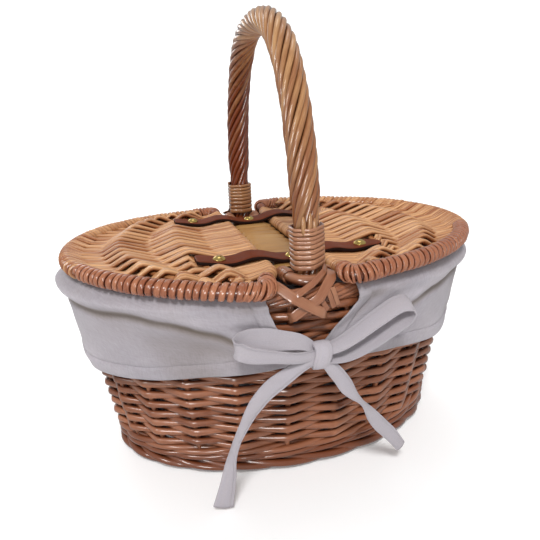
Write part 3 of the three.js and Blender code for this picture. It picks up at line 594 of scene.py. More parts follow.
def willow(kind):
    """Willow under clear varnish, in the colours of its kind."""
    name, streak, polish, coat = WILLOWS[kind]
    if name in bpy.data.materials:
        return bpy.data.materials[name]
    material, tree, surface = shader(name)
    skin = tree.nodes.new("ShaderNodeGroup")
    skin.node_tree = willow_group()
    skin.inputs["Pale"].default_value = (*getattr(colours(), kind + "_pale"), 1.0)
    skin.inputs["Deep"].default_value = (*getattr(colours(), kind + "_deep"), 1.0)
    skin.inputs["Streak"].default_value = streak
    skin.inputs["Polish"].default_value = polish
    tree.links.new(skin.outputs["Color"], surface.inputs["Base Color"])
    tree.links.new(skin.outputs["Roughness"], surface.inputs["Roughness"])
    surface.inputs["Specular IOR Level"].default_value = 0.25
    surface.inputs["Coat Weight"].default_value = coat
    surface.inputs["Coat Roughness"].default_value = 0.13
    bump(tree, surface, skin.outputs["Height"], 0.3, 0.0006)
    return material


def cotton_finish():
    """Matte unbleached cotton."""
    if "Unbleached Cotton" in bpy.data.materials:
        return bpy.data.materials["Unbleached Cotton"]
    material, tree, surface = shader("Unbleached Cotton")
    weave = tree.nodes.new("ShaderNodeGroup")
    weave.node_tree = cotton_group()
    weave.inputs["Cloth"].default_value = (*colours().cotton, 1.0)
    weave.inputs["Thread"].default_value = 0.0011
    tree.links.new(weave.outputs["Color"], surface.inputs["Base Color"])
    surface.inputs["Roughness"].default_value = 0.92
    surface.inputs["Sheen Weight"].default_value = 0.12
    surface.inputs["Sheen Roughness"].default_value = 0.5
    surface.inputs["Specular IOR Level"].default_value = 0.15
    bump(tree, surface, weave.outputs["Height"], 0.5, 0.0004)
    return material


def leather_finish():
    """Smooth strap leather with dark cut edges."""
    material, tree, surface = shader("Strap Leather")
    place = tree.nodes.new("ShaderNodeTexCoord").outputs["Object"]
    grain = tree.nodes.new("ShaderNodeTexVoronoi")
    grain.inputs["Scale"].default_value = 900.0
    tree.links.new(place, grain.inputs["Vector"])
    cloud = noise_node(tree, place, 60.0, 4.0)
    cut = attribute_node(tree, "edge")
    worn = math_node(tree, "MULTIPLY_ADD", cloud, 0.9, 0.0, clamp=True)
    light = tuple(min(1.0, 1.7 * c) for c in colours().leather)
    dark = tuple(0.62 * c for c in colours().leather)
    color = blend_node(tree, worn, dark, light)
    color = blend_node(tree, math_node(tree, "MULTIPLY", cut, 0.94), color, tuple(colours().leather_edge))
    tree.links.new(color, surface.inputs["Base Color"])
    rough = math_node(tree, "MULTIPLY_ADD", cloud, 0.3, 0.3)
    rough = math_node(tree, "MULTIPLY_ADD", cut, 0.25, rough)
    tree.links.new(rough, surface.inputs["Roughness"])
    surface.inputs["Specular IOR Level"].default_value = 0.07
    bump(tree, surface, grain.outputs["Distance"], 0.18, 0.0003)
    return material


def brass_finish():
    """Polished brass with fine scratches and a little tarnish."""
    material, tree, surface = shader("Rivet Brass")
    place = tree.nodes.new("ShaderNodeTexCoord").outputs["Object"]
    tarnish = noise_node(tree, place, 420.0, 4.0)
    brass = tuple(colours().brass)
    color = blend_node(tree, tarnish, brass, tuple(0.68 * c for c in brass))
    tree.links.new(color, surface.inputs["Base Color"])
    tree.links.new(math_node(tree, "MULTIPLY_ADD", tarnish, 0.25, 0.1), surface.inputs["Roughness"])
    surface.inputs["Metallic"].default_value = 1.0
    bump(tree, surface, tarnish, 0.08, 0.0002)
    return material


# Bowl

STAKE_PHASE = math.radians(-81.0)
# How sharply a weaver turns at a stake, and how much nearer to the middle it runs between two stakes
ZIGZAG = 0.965
CHORD = 0.0086
# Height of the border's middle, and its half height and half width
RIM_LINE = 147.5
RIM_RISE = 4.3
RIM_SWELL = 2.5
# The base: rounds of weave, half width of the first, what the last adds to it, and extra half length
BASE_ROUNDS = 16
BASE_INNER = 4.0
BASE_SPREAD = 68.5
BASE_LONGER = 49.0
# Places of the sticks along the base and across it
LONG_STICKS = (-34.0, 0.0, 34.0)
CROSS_STICKS = (-68.0, -34.0, 0.0, 34.0, 68.0)


def slanted_row(rods, rng, stakes, height, rod, swing, climb, offset, tone):
    """A row of three rods that pass outside two stakes and inside the third, each climbing as it goes."""
    theta = once_round(stakes * 7)
    for strand in range(3):
        share = ((theta - STAKE_PHASE) * stakes / (2 * math.pi) + strand) / 3 % 1.0
        out = swing * (0.2 + np.cos(2 * math.pi * (share - 1 / 3)))
        rise = np.where(share < 2 / 3, share * 1.5 - 0.5, 0.5 - (share - 2 / 3) * 3)
        wave = 0.3 * np.sin(theta * 5 + rng.uniform(0, 6))
        line = wall_points(theta, height + climb * rise + wave, offset + out)
        girth = rod * (1 + 0.05 * np.sin(theta * 3 + rng.uniform(0, 6)))
        rods.add(line, wall_normals(theta), girth, girth, tone + rng.uniform(-0.16, 0.16), closed=True)


class HAMPER_OT_bowl_weave(bpy.types.Operator):
    """Weave the wall of the bowl round its stakes"""

    bl_idname = "hamper.bowl_weave"
    bl_label = "Bowl Weave"

    def execute(self, context):
        sizes = context.scene.hamper_bowl
        rng = np.random.default_rng(11)
        stakes = sizes.stakes
        between = np.array([0.0, 0.05, 0.12, 0.27, 0.5, 0.73, 0.88, 0.95])
        place = (np.arange(stakes)[:, None] + between).ravel()
        theta = STAKE_PHASE + place * 2 * math.pi / stakes
        slack = 4 * (place % 1.0) * (1 - place % 1.0)
        chord = xyz(1 - CHORD * slack, 1 - CHORD * slack, 1.0)
        low, high = 25.4, BORDER_BOTTOM - 1.6
        weavers = Rods()
        for course in range(sizes.courses):
            wave = np.arcsin(ZIGZAG * np.cos(math.pi * (place + course))) / math.asin(ZIGZAG)
            swing = sizes.weave_swing / MM * (1 + rng.uniform(-0.1, 0.1))
            height = low + (high - low) * course / (sizes.courses - 1)
            drift = rng.normal(0, 0.4, stakes)
            drift = np.interp(place, np.arange(stakes + 1), np.append(drift, drift[0]))
            line = wall_points(theta, height + drift, swing * wave) * chord
            tall = sizes.weaver_height / MM * (0.78 + 0.22 * np.abs(wave))
            tall = tall * (1 + rng.uniform(-0.07, 0.07))
            deep = sizes.weaver_depth / MM * (1 + rng.uniform(-0.08, 0.08))
            runs = np.interp(place, np.linspace(0, stakes, 9), np.append(rng.uniform(0.1, 0.9, 8), 0.5))
            weavers.add(line, wall_normals(theta), tall, deep, runs, section=WEAVER, closed=True)
        settle(weavers.build("bowl_weavers", willow("wall")), "basket", "willow", "side_weave")
        uprights = Rods()
        for stake in range(stakes):
            angle = STAKE_PHASE + stake * 2 * math.pi / stakes
            height = np.linspace(6.0, BORDER_BOTTOM + 6, 18)
            line = wall_points(angle, height, 0.3 * np.sin(height / 9 + stake))
            girth = sizes.stake_width / MM
            normal = wall_normals(np.full(18, angle))
            uprights.add(line, normal, girth, girth, rng.uniform(0.45, 0.9))
        settle(uprights.build("bowl_stakes", willow("wall")), "basket", "willow")
        return {"FINISHED"}


class HAMPER_OT_bowl_borders(bpy.types.Operator):
    """Plait the foot, the wale above it and the border at the rim"""

    bl_idname = "hamper.bowl_borders"
    bl_label = "Bowl Borders"

    def execute(self, context):
        sizes = context.scene.hamper_bowl
        rng = np.random.default_rng(23)
        stakes, foot_rod, wale_rod = sizes.stakes, sizes.foot_rod / MM, sizes.wale_rod / MM
        foot = Rods()
        # The foot and the lower wale get darker tones than the upper wale, as painted shade towards the
        # bottom of the bowl
        slanted_row(foot, rng, stakes, 5.9, foot_rod, swing=3.0, climb=-6.0, offset=0.8, tone=-0.32)
        settle(foot.build("foot_rods", willow("wall")), "basket", "willow", "foot_border")
        wale = Rods()
        for height, offset, tone in ((14.2, 0.4, 0.05), (19.4, 0.0, 0.35)):
            slanted_row(wale, rng, stakes, height, wale_rod, swing=2.6, climb=4.6, offset=offset, tone=tone)
        settle(wale.build("wale_rods", willow("wall")), "basket", "willow", "upset_wale")
        rim = Rods()
        rods, lays = 7, 11
        theta = once_round(330)
        girth = sizes.rim_rod / MM
        for rod in range(rods):
            lay = lays * theta + 2 * math.pi * rod / rods + 0.15 * np.sin(5 * theta + rod)
            line = wall_points(theta, RIM_LINE + RIM_RISE * np.sin(lay), RIM_SWELL * np.cos(lay))
            hint = wall_normals(theta) * np.cos(lay)[:, None] + xyz(0.0, 0.0, np.sin(lay))
            rim.add(line, hint, girth, girth, 0.5 + rng.uniform(-0.25, 0.25), closed=True)
        settle(rim.build("rim_rods", willow("wall")), "basket", "willow", "rim_border")
        return {"FINISHED"}


class HAMPER_OT_bowl_base(bpy.types.Operator):
    """Weave the oval base over its sticks"""

    bl_idname = "hamper.bowl_base"
    bl_label = "Bowl Base"

    def execute(self, context):
        rng = np.random.default_rng(31)
        weave = Rods()
        theta = once_round(120)
        for turn in range(BASE_ROUNDS):
            reach = BASE_INNER + BASE_SPREAD * turn / (BASE_ROUNDS - 1)
            ripple = 1.2 * np.cos(8 * theta + math.pi * turn)
            line = xyz((reach + BASE_LONGER) * np.cos(theta), reach * np.sin(theta), 5.9 + ripple)
            weave.add(line, (0, 0, 1), 4.4, 2.9, rng.uniform(0.2, 0.8), section=SLIM, closed=True)
        settle(weave.build("base_rounds", willow("wall")), "basket", "willow", "base_weave")
        ends = []
        for y in LONG_STICKS:
            x = 124 * math.sqrt(1 - (y / 75) ** 2)
            ends.append(((-x, y, 2.3), (x, y, 2.3)))
        for x in CROSS_STICKS:
            y = 74 * math.sqrt(1 - (x / 125) ** 2)
            ends.append(((x, -y, 2.2), (x, y, 2.2)))
        sticks = Rods()
        for first, last in ends:
            sticks.add(np.linspace(first, last, 12), (0, 0, 1), 4.2, 2.6, rng.uniform(0.3, 0.7))
        settle(sticks.build("base_stick_rods", willow("wall")), "basket", "willow", "base_sticks")
        return {"FINISHED"}


# Handle

# How pale the handle's willow is painted, at shares of the way from its front foot to its rear foot: partly
# its own colour, golden at the crown, and partly painted shade, darkest down the rear leg
HANDLE_TONE_AND_SHADE = (
    [0.0, 0.12, 0.28, 0.42, 0.52, 0.64, 0.8, 1.0],
    [0.42, 0.4, 0.6, 0.82, 0.7, 0.36, 0.02, -0.12],
)
# Cut ends of rods that stand out of the front collar: place across, lean, and height of the tip
CUT_ENDS = ((-4.4, -0.6, 198.5), (-1.0, 0.5, 200.5), (2.2, 0.2, 197.0))
CUT_FOOT = 186.0
# A collar: height of its foot, its own height, the radius of its skein's middle, and points on each turn
COLLAR_FOOT = 163.0
COLLAR_HEIGHT = 27.4
COLLAR_RADIUS = 10.9
COLLAR_POINTS = 36
BAR_LOOP_RADIUS = 12.2
# Heights between which the rods open out above a collar, and the thickness of the core inside them
OPENING = (196, 212)
CORE_WIDTH = 9.8


def arch_line(steps):
    """The middle of the handle from its front foot over the crown to its rear foot."""
    turn = np.pi * (0.5 - 0.5 * np.cos(np.linspace(0, np.pi, 3001)))
    bend = 2 / HANDLE_SQUARENESS
    y = -HANDLE_REACH * np.sign(np.cos(turn)) * np.abs(np.cos(turn)) ** bend
    z = SPRINGING + (HANDLE_CROWN - SPRINGING) * np.abs(np.sin(turn)) ** bend
    return resample(xyz(0.0, y, z), steps)


def leg_reach(height):
    """How far a leg stands from the middle of the basket at a height."""
    share = np.clip((np.asarray(height, float) - SPRINGING) / (HANDLE_CROWN - SPRINGING), 0, 1)
    return HANDLE_REACH * (1 - share**HANDLE_SQUARENESS) ** (1 / HANDLE_SQUARENESS)


class HAMPER_OT_handle(bpy.types.Operator):
    """Lay the rods of the handle round its bent core"""

    bl_idname = "hamper.handle"
    bl_label = "Handle"

    def execute(self, context):
        sizes = context.scene.hamper_handle
        rng = np.random.default_rng(5)
        steps = 170
        arch = arch_line(steps)
        along = unit(np.gradient(arch, axis=0))
        side = np.tile([1.0, 0.0, 0.0], (steps + 1, 1))
        out = np.cross(along, side)
        reach = reach_along(arch)
        swell = smoothstep(*OPENING, arch[:, 2])
        over = sizes.neck_radius / MM + (sizes.outer_radius - sizes.neck_radius) / MM * swell
        twist = Rods()
        for rod in range(sizes.rods):
            turn = 2 * math.pi * (rod / sizes.rods + reach / (sizes.lay / MM))
            turn = turn + 0.05 * np.sin(reach / 37 + rng.uniform(0, 6))
            radial = side * np.cos(turn)[:, None] + out * np.sin(turn)[:, None]
            girth = sizes.rod_width / MM * (1 + rng.uniform(-0.08, 0.08))
            seat = over - girth / 2 + 0.25 * np.sin(reach / 29 + rng.uniform(0, 6)) - 0.25
            # The rear leg's darker tone is painted shade
            tone = rng.uniform(-0.15, 0.2) + np.interp(np.linspace(0, 1, steps + 1), *HANDLE_TONE_AND_SHADE)
            twist.add(arch + radial * seat[:, None], radial, girth, girth, tone, section=round_section(10))
        for x, lean, top in CUT_ENDS:
            foot = np.array([x, -HANDLE_REACH - math.sqrt(9.4**2 - x * x) + 0.6, CUT_FOOT])
            tip = foot + np.array([lean, -0.5, top - CUT_FOOT])
            girth = np.array([3.6, 3.6, 3.5, 3.0, 1.0])
            twist.add(np.linspace(foot, tip, 5), (0, -1, 0), girth, 0.75 * girth, rng.uniform(0.5, 0.8))
        settle(twist.build("handle_rods", willow("handle")), "basket", "willow", "handle_twist")
        core = Rods()
        leg = wall_points(math.pi / 2, 14.0, -9.4)
        top = np.array([0, HANDLE_REACH, BORDER_BOTTOM])
        mirror = np.array([1, -1, 1])
        line = resample(np.vstack([leg * mirror, top * mirror, arch, top, leg]), 120)
        core.add(line, (1, 0, 0), CORE_WIDTH, CORE_WIDTH, 0.1)
        settle(core.build("handle_core", willow("handle")), "basket", "willow", "handle_bow")
        return {"FINISHED"}


def bind_foot(rods, rng, turns, flip, tone):
    """One collar: a skein wound from the bar up to where the rods open out, flat between its bends."""
    turn = np.linspace(0, 2 * math.pi * turns, turns * COLLAR_POINTS + 1)
    share = turn / turn[-1]
    height = COLLAR_FOOT + COLLAR_HEIGHT * (1.22 * share - 0.22 * share**2)
    wander = np.interp(share, np.linspace(0, 1, turns * 3), rng.uniform(-0.25, 0.25, turns * 3))
    tilt = 0.55 * np.sin(turn + 0.8) * (1.6 - share) + wander
    side = math.pi / 3
    facet = np.cos(side / 2) / np.cos((turn + 0.5) % side - side / 2)
    radius = COLLAR_RADIUS * (0.3 + 0.7 * facet / np.cos(side / 2)) - 0.9
    line = xyz(radius * np.cos(turn), radius * np.sin(turn) - leg_reach(height), height + tilt)
    radial = xyz(np.cos(turn), np.sin(turn), 0.0)
    pitch = np.gradient(height) * COLLAR_POINTS
    lap = np.interp(share, np.linspace(0, 1, turns + 1), rng.uniform(-0.2, 0.2, turns + 1))
    rods.add(line * flip, radial * flip, pitch * 0.93, 1.7, tone + lap, section=BAND)


# Skeins at the front foot: points of each line, the way its face looks at each point, and its width
FOOT_SKEINS = [
    (
        [
            (-30.0, -106.0, 158.4), (-25.0, -112.6, 156.4), (-17.0, -118.2, 150.4), (-15.6, -118.6, 149.4),
            (-8.0, -119.0, 144.4), (0.0, -118.6, 139.2), (4.6, -117.0, 136.4), (7.2, -112.4, 134.6),
        ],
        [
            (-0.6, -0.2, 0.8), (-0.75, -0.25, 0.6), (-0.7, -0.4, 0.6), (0.1, -1, 0.15),
            (0.1, -1, 0.1), (0.1, -1, 0.05), (0.1, -1, 0.1), (0.3, -1, 0.2),
        ],
        6.9,
    ),
    (
        [
            (13.0, -107.0, 161.2), (10.4, -113.6, 159.2), (1.4, -118.6, 149.4), (0.2, -118.9, 148.2),
            (-5.0, -117.9, 144.4), (-11.3, -117.2, 140.3), (-16.6, -116.4, 136.6), (-19.0, -111.4, 134.6),
        ],
        [
            (0.2, -0.5, 0.9), (0.3, -0.7, 0.7), (0.35, -0.8, 0.5), (-0.1, -1, 0.15),
            (-0.1, -1, 0.1), (-0.1, -1, 0.1), (-0.1, -1, 0.1), (-0.3, -1, 0.2),
        ],
        6.9,
    ),
    (
        [
            (9.4, -106.0, 164.4), (6.0, -112.0, 162.8), (-3.2, -116.6, 157.4), (-13.0, -118.4, 152.4),
            (-16.6, -117.4, 150.4),
        ],
        [(0.4, -0.8, 0.3), (0.3, -0.9, 0.3), (0, -0.9, 0.4), (-0.1, -0.9, 0.4), (-0.1, -0.9, 0.4)],
        4.2,
    ),
    ([(2.0, -117.4, 146.6), (3.4, -117.9, 143.6), (6.2, -117.2, 138.8)], [(0, -1, 0)] * 3, 3.2),
    ([(6.6, -116.8, 152.0), (8.0, -117.6, 147.4), (10.6, -116.8, 139.6)], [(0, -1, 0)] * 3, 3.2),
    ([(9.8, -116.4, 153.4), (11.2, -117.2, 148.6), (13.6, -116.4, 141.0)], [(0, -1, 0)] * 3, 3.2),
]


def lay_skein(rods, points, faces, width, tone, flip):
    """One flat skein through points with sharp bends where two points lie close together."""
    reach = reach_along(np.array(points))
    steps = 26
    hint = rows_at(np.linspace(0, reach[-1], steps + 1), reach, faces)
    rods.add(resample(points, steps) * flip, hint * flip, width, 1.3, tone, section=FLAT)


class HAMPER_OT_bindings(bpy.types.Operator):
    """Bind the handle's feet with skeins and lash them to the border"""

    bl_idname = "hamper.bindings"
    bl_label = "Handle Bindings"

    def execute(self, context):
        sizes = context.scene.hamper_handle
        rng = np.random.default_rng(17)
        for name, flip, turns, tone, skin in (
            ("front", FRONT, sizes.front_turns, 0.72, willow("bind")),
            ("rear", REAR, sizes.rear_turns, 0.5, willow("handle")),
        ):
            collar = Rods()
            bind_foot(collar, rng, turns, flip, tone)
            settle(collar.build(name + "_collar_skein", skin), "basket", "willow", name + "_collar")
            cross = Rods()
            for points, faces, width in FOOT_SKEINS:
                lay_skein(cross, points, faces, width, tone - rng.uniform(0.1, 0.4), flip)
            settle(cross.build(name + "_lashing_skeins", skin), "basket", "willow", name + "_lashing")
        return {"FINISHED"}


def bar_drop(y):
    """How far the bar hangs between the two feet of the handle."""
    sag = 1.2 * np.cos(np.clip(y / STRAP_PLACE, -1, 1) * math.pi / 2)
    return 3.0 * (1 - smoothstep(76, 104, np.abs(y))) + sag


class HAMPER_OT_centre_bar(bpy.types.Operator):
    """Bend the cane round both handle feet and wind it with pale skein"""

    bl_idname = "hamper.centre_bar"
    bl_label = "Centre Bar"

    def execute(self, context):
        sizes = context.scene.hamper_handle
        level = (BAR_TOP + BAR_BOTTOM) / 2
        turn = np.linspace(0, math.pi, 25)
        rear = xyz(BAR_LOOP_RADIUS * np.cos(turn), HANDLE_REACH + BAR_LOOP_RADIUS * np.sin(turn), level)
        line = resample(np.vstack([rear, rear * REAR]), 220, closed=True)
        line[:, 2] -= bar_drop(line[:, 1])
        cane = Rods()
        bare = smoothstep(BAR_HALF_LENGTH, BAR_HALF_LENGTH + 10, np.abs(line[:, 1]))
        wide, deep = 6.0 + 2.6 * bare, 5.4 + 2.0 * bare
        cane.add(line, (0, 0, 1), wide, deep, 0.55, section=round_section(12), closed=True)
        rng = np.random.default_rng(3)
        for side in (-1, 1):
            for end in (-1, 1):
                y = np.linspace(BAR_HALF_LENGTH - 2.0, HANDLE_REACH + 1.0, 12) * end
                stretch = xyz(BAR_LOOP_RADIUS * side, y, level - bar_drop(y))
                lap_hoop(cane, rng, stretch, 4.0, radius=4.7, thick=1.5, tone=0.6, share=0.92, tilt=0.6)
        settle(cane.build("bar_cane", willow("bind")), "basket", "willow", "bar_cane_loop")
        turns = sizes.bar_turns
        around = 28
        wide, inset = 15.6, 7.6
        wind = np.linspace(0, turns, turns * around + 1)
        angle = 2 * math.pi * (wind % 1.0)
        half_w, half_h = BAR_HALF_WIDTH - 0.6, (BAR_TOP - BAR_BOTTOM) / 2 - 0.6
        shape = np.stack([np.cos(angle), np.sin(angle)], axis=-1)
        shape = np.sign(shape) * np.abs(shape) ** 0.45
        y = -BAR_HALF_LENGTH + inset + 2 * (BAR_HALF_LENGTH - inset) * wind / turns
        line = xyz(half_w * shape[:, 0], y, level - bar_drop(y) + half_h * shape[:, 1])
        out = unit(xyz(shape[:, 0] * half_h, 0.0, shape[:, 1] * half_w) + 1e-6)
        tone = np.interp(wind, np.arange(turns + 1), rng.uniform(0.2, 0.9, turns + 1))
        skein = Rods()
        skein.add(line, out, wide, 1.1, tone, section=FLAT)
        settle(skein.build("bar_skein", willow("skein")), "basket", "pale_willow", "bar_wrap")
        return {"FINISHED"}


# Lids

# Bundles nearer to the middle of a lid than this end round the hoop, and the lapping covers the rest of it
WRAP_REACH = 47.0
# Points of a bundle's line round the hinge stick and round the hoop, and of a lapping's line round each turn
STICK_POINTS = 10
HOOP_POINTS = 9
LAP_POINTS = 14
# Shares of the way across a lid: the hinge stick, valleys and ridges of the weave in turn, and the hoop
STOPS = np.array([0.0, 0.193, 0.373, 0.536, 0.708, 0.816, 1.0])
# Distances along a strap from the middle of the bar, and its heights there
STRAP_PROFILE = [
    (0.0, 160.1), (7.5, 160.5), (12.0, 161.3), (16.0, 162.5), (20.0, 163.7), (24.0, 164.5),
    (28.0, 164.8), (31.5, 164.6), (35.0, 163.9), (39.0, 163.0), (44.0, 162.4), (49.0, 162.5),
]
# A strap's tip lifts on the left lid and lies flat on the right one
LEFT_TIP = [(54.0, 163.3), (60.0, 164.4), (66.0, 165.4), (69.0, 165.7)]
RIGHT_TIP = [(54.0, 162.9), (60.0, 163.2), (66.0, 163.0), (69.0, 162.8)]


def strap_profile(mirror):
    """Distances and heights along a strap out to its tip, on the right lid at 1 or the left one at -1."""
    return np.array(STRAP_PROFILE + (RIGHT_TIP if mirror > 0 else LEFT_TIP))


def hoop_line():
    """The middle of the right lid's hoop, from its rear corner round the oval to its front corner."""
    a, b = HOOP_OVAL
    corner = 10.0
    start = math.acos((HINGE_STICK + corner) / a)
    edge = b * math.sin(math.acos(HINGE_STICK / a))
    on_oval = np.array([a * math.cos(start), b * math.sin(start)])
    first, middle = np.array([HINGE_STICK, edge - corner]), np.array([HINGE_STICK, edge])
    t = np.linspace(0, 1, 12)[:, None]
    bend = (1 - t) ** 2 * first + 2 * t * (1 - t) * middle + t**2 * on_oval
    theta = np.linspace(start, -start, 200)
    oval = np.stack([a * np.cos(theta), b * np.sin(theta)], axis=-1)
    plan = np.vstack([bend[:-1], oval, bend[::-1][1:] * [1, -1]])
    return xyz(plan[:, 0], plan[:, 1], HOOP_HEIGHT)


def lid_stops(y):
    """Places of the stops across a lid, at a distance from the basket's middle."""
    a, b = HOOP_OVAL
    hoop = a * math.sqrt(max(0.0, 1 - (y / b) ** 2))
    return HINGE_STICK + (hoop - HINGE_STICK) * STOPS


def near_hinge(x):
    """How near a place on a lid is to its hinge stick: 1 at the stick, and 0 from 50 mm out."""
    return 1 - smoothstep(24.0, 50.0, np.abs(x))


def hinge_drop(x):
    """How far the weave of a lid dips to its hinge stick."""
    return 3.8 * near_hinge(x)


def lid_rod(y, over, sizes, rng, mirror):
    """The middle of one bundle: round the hinge stick, over one rib, under the other, and out to the hoop."""
    stops = lid_stops(y)
    end = stops[-1] - 2.0
    hump = sizes.hump / MM * (1 + rng.uniform(-0.08, 0.08))
    around = 3.4
    turn = np.radians(np.linspace(262, 90, STICK_POINTS))
    wrap = xyz(HINGE_STICK + around * np.cos(turn), y, HOOP_HEIGHT + around * np.sin(turn))
    x = np.linspace(HINGE_STICK + 2.0, end, max(6, int((end - HINGE_STICK) / 2.3)))
    if over:
        rises = [around, -2.6, hump, -2.7, -4.0, -2.8, 1.0]
    else:
        rises = [around, -3.0, -4.0, -2.7, hump, -2.8, -1.0]
    blur = np.linspace(-2.0, 2.0, 7)
    z = HOOP_HEIGHT + np.mean([np.interp(x + shift, stops, rises) for shift in blur], axis=0)
    under_strap = 1 - smoothstep(11.5, 15.5, abs(abs(y) - STRAP_PLACE))
    if under_strap > 0:
        room = sizes.strap_thickness / MM / 2 + sizes.rod_height / MM / 2 + 0.4
        ceiling = np.interp(x, *strap_profile(mirror).T) - room + hinge_drop(x)
        pressed = np.where(x < 72.0, np.minimum(z, ceiling), z)
        z = z + (pressed - z) * under_strap
    sway = y + 0.35 * np.sin(x / 17 + rng.uniform(0, 6))
    line = np.vstack([wrap, xyz(x, sway, z)])
    if abs(y) > WRAP_REACH:
        return line
    inside = line[line[:, 0] < stops[-1] - 9.0]
    bend = np.radians(np.linspace(104, -78, HOOP_POINTS))
    a, b = HOOP_OVAL
    slope = math.atan2(y / b**2, math.sqrt(1 - (y / b) ** 2) / a)
    wide = 4.3 / math.cos(slope)
    over_hoop = xyz(stops[-1] + wide * np.cos(bend), sway[-1], HOOP_HEIGHT + 4.0 * np.sin(bend))
    return np.vstack([inside, over_hoop])


def lean_lid(points, mirror):
    """How a used lid lies: low at the hinge, its front corner a little aside, the left lid's edge hanging."""
    x, y = np.abs(points[:, 0]), points[:, 1]
    corner = (8.0 if mirror < 0 else 3.6) * smoothstep(86, 116, -y) * (1 - smoothstep(24, 85, x))
    low = hinge_drop(x) * (1 - (0.5 if mirror < 0 else 0.7) * smoothstep(92, 108, np.abs(y)))
    if mirror < 0:
        a, b = HOOP_OVAL
        edge = np.abs(y) / (b * np.sqrt(np.clip(1 - (x / a) ** 2, 0.02, 1)))
        low = np.maximum(low, 4.0 * smoothstep(0.82, 0.97, edge) * (1 - smoothstep(26, 158, x)))
    near = 1.4 * mirror * near_hinge(x) * (1 - smoothstep(84, 104, np.abs(y)))
    return points - xyz(corner + near, 0.0, low)


def lap_hoop(rods, rng, line, pitch, radius, thick, tone, share, tilt):
    """A skein wound round a line, a share of its pitch wide, with turns of uneven width."""
    reach = reach_along(line)[-1]
    turns = max(1, int(round(reach / pitch)))
    dense = resample(line, turns * LAP_POINTS)
    at = np.linspace(0, turns, turns * LAP_POINTS + 1)
    knots = np.arange(turns + 1)
    shift = rng.uniform(-0.13, 0.13, turns + 1)
    shift[0] = shift[-1] = 0.0
    path = rows_at(at + np.interp(at, knots, shift), at, dense)
    along = unit(np.gradient(dense, axis=0))
    up = np.array([0.0, 0.0, 1.0])
    wind = 2 * math.pi * at
    radial = np.cross(along, up) * np.cos(wind)[:, None] + up * np.sin(wind)[:, None]
    drift = along * (tilt * np.sin(wind))[:, None]
    shade = np.interp(at, knots, rng.uniform(-0.3, 0.3, turns + 1))
    wide = reach / turns * share * np.interp(at, knots, rng.uniform(0.86, 1.08, turns + 1))
    bulge = radius + np.interp(at, knots, rng.uniform(-0.25, 0.25, turns + 1))
    rods.add(path + radial * bulge[:, None] + drift, radial, wide, thick, tone + shade, section=BAND)


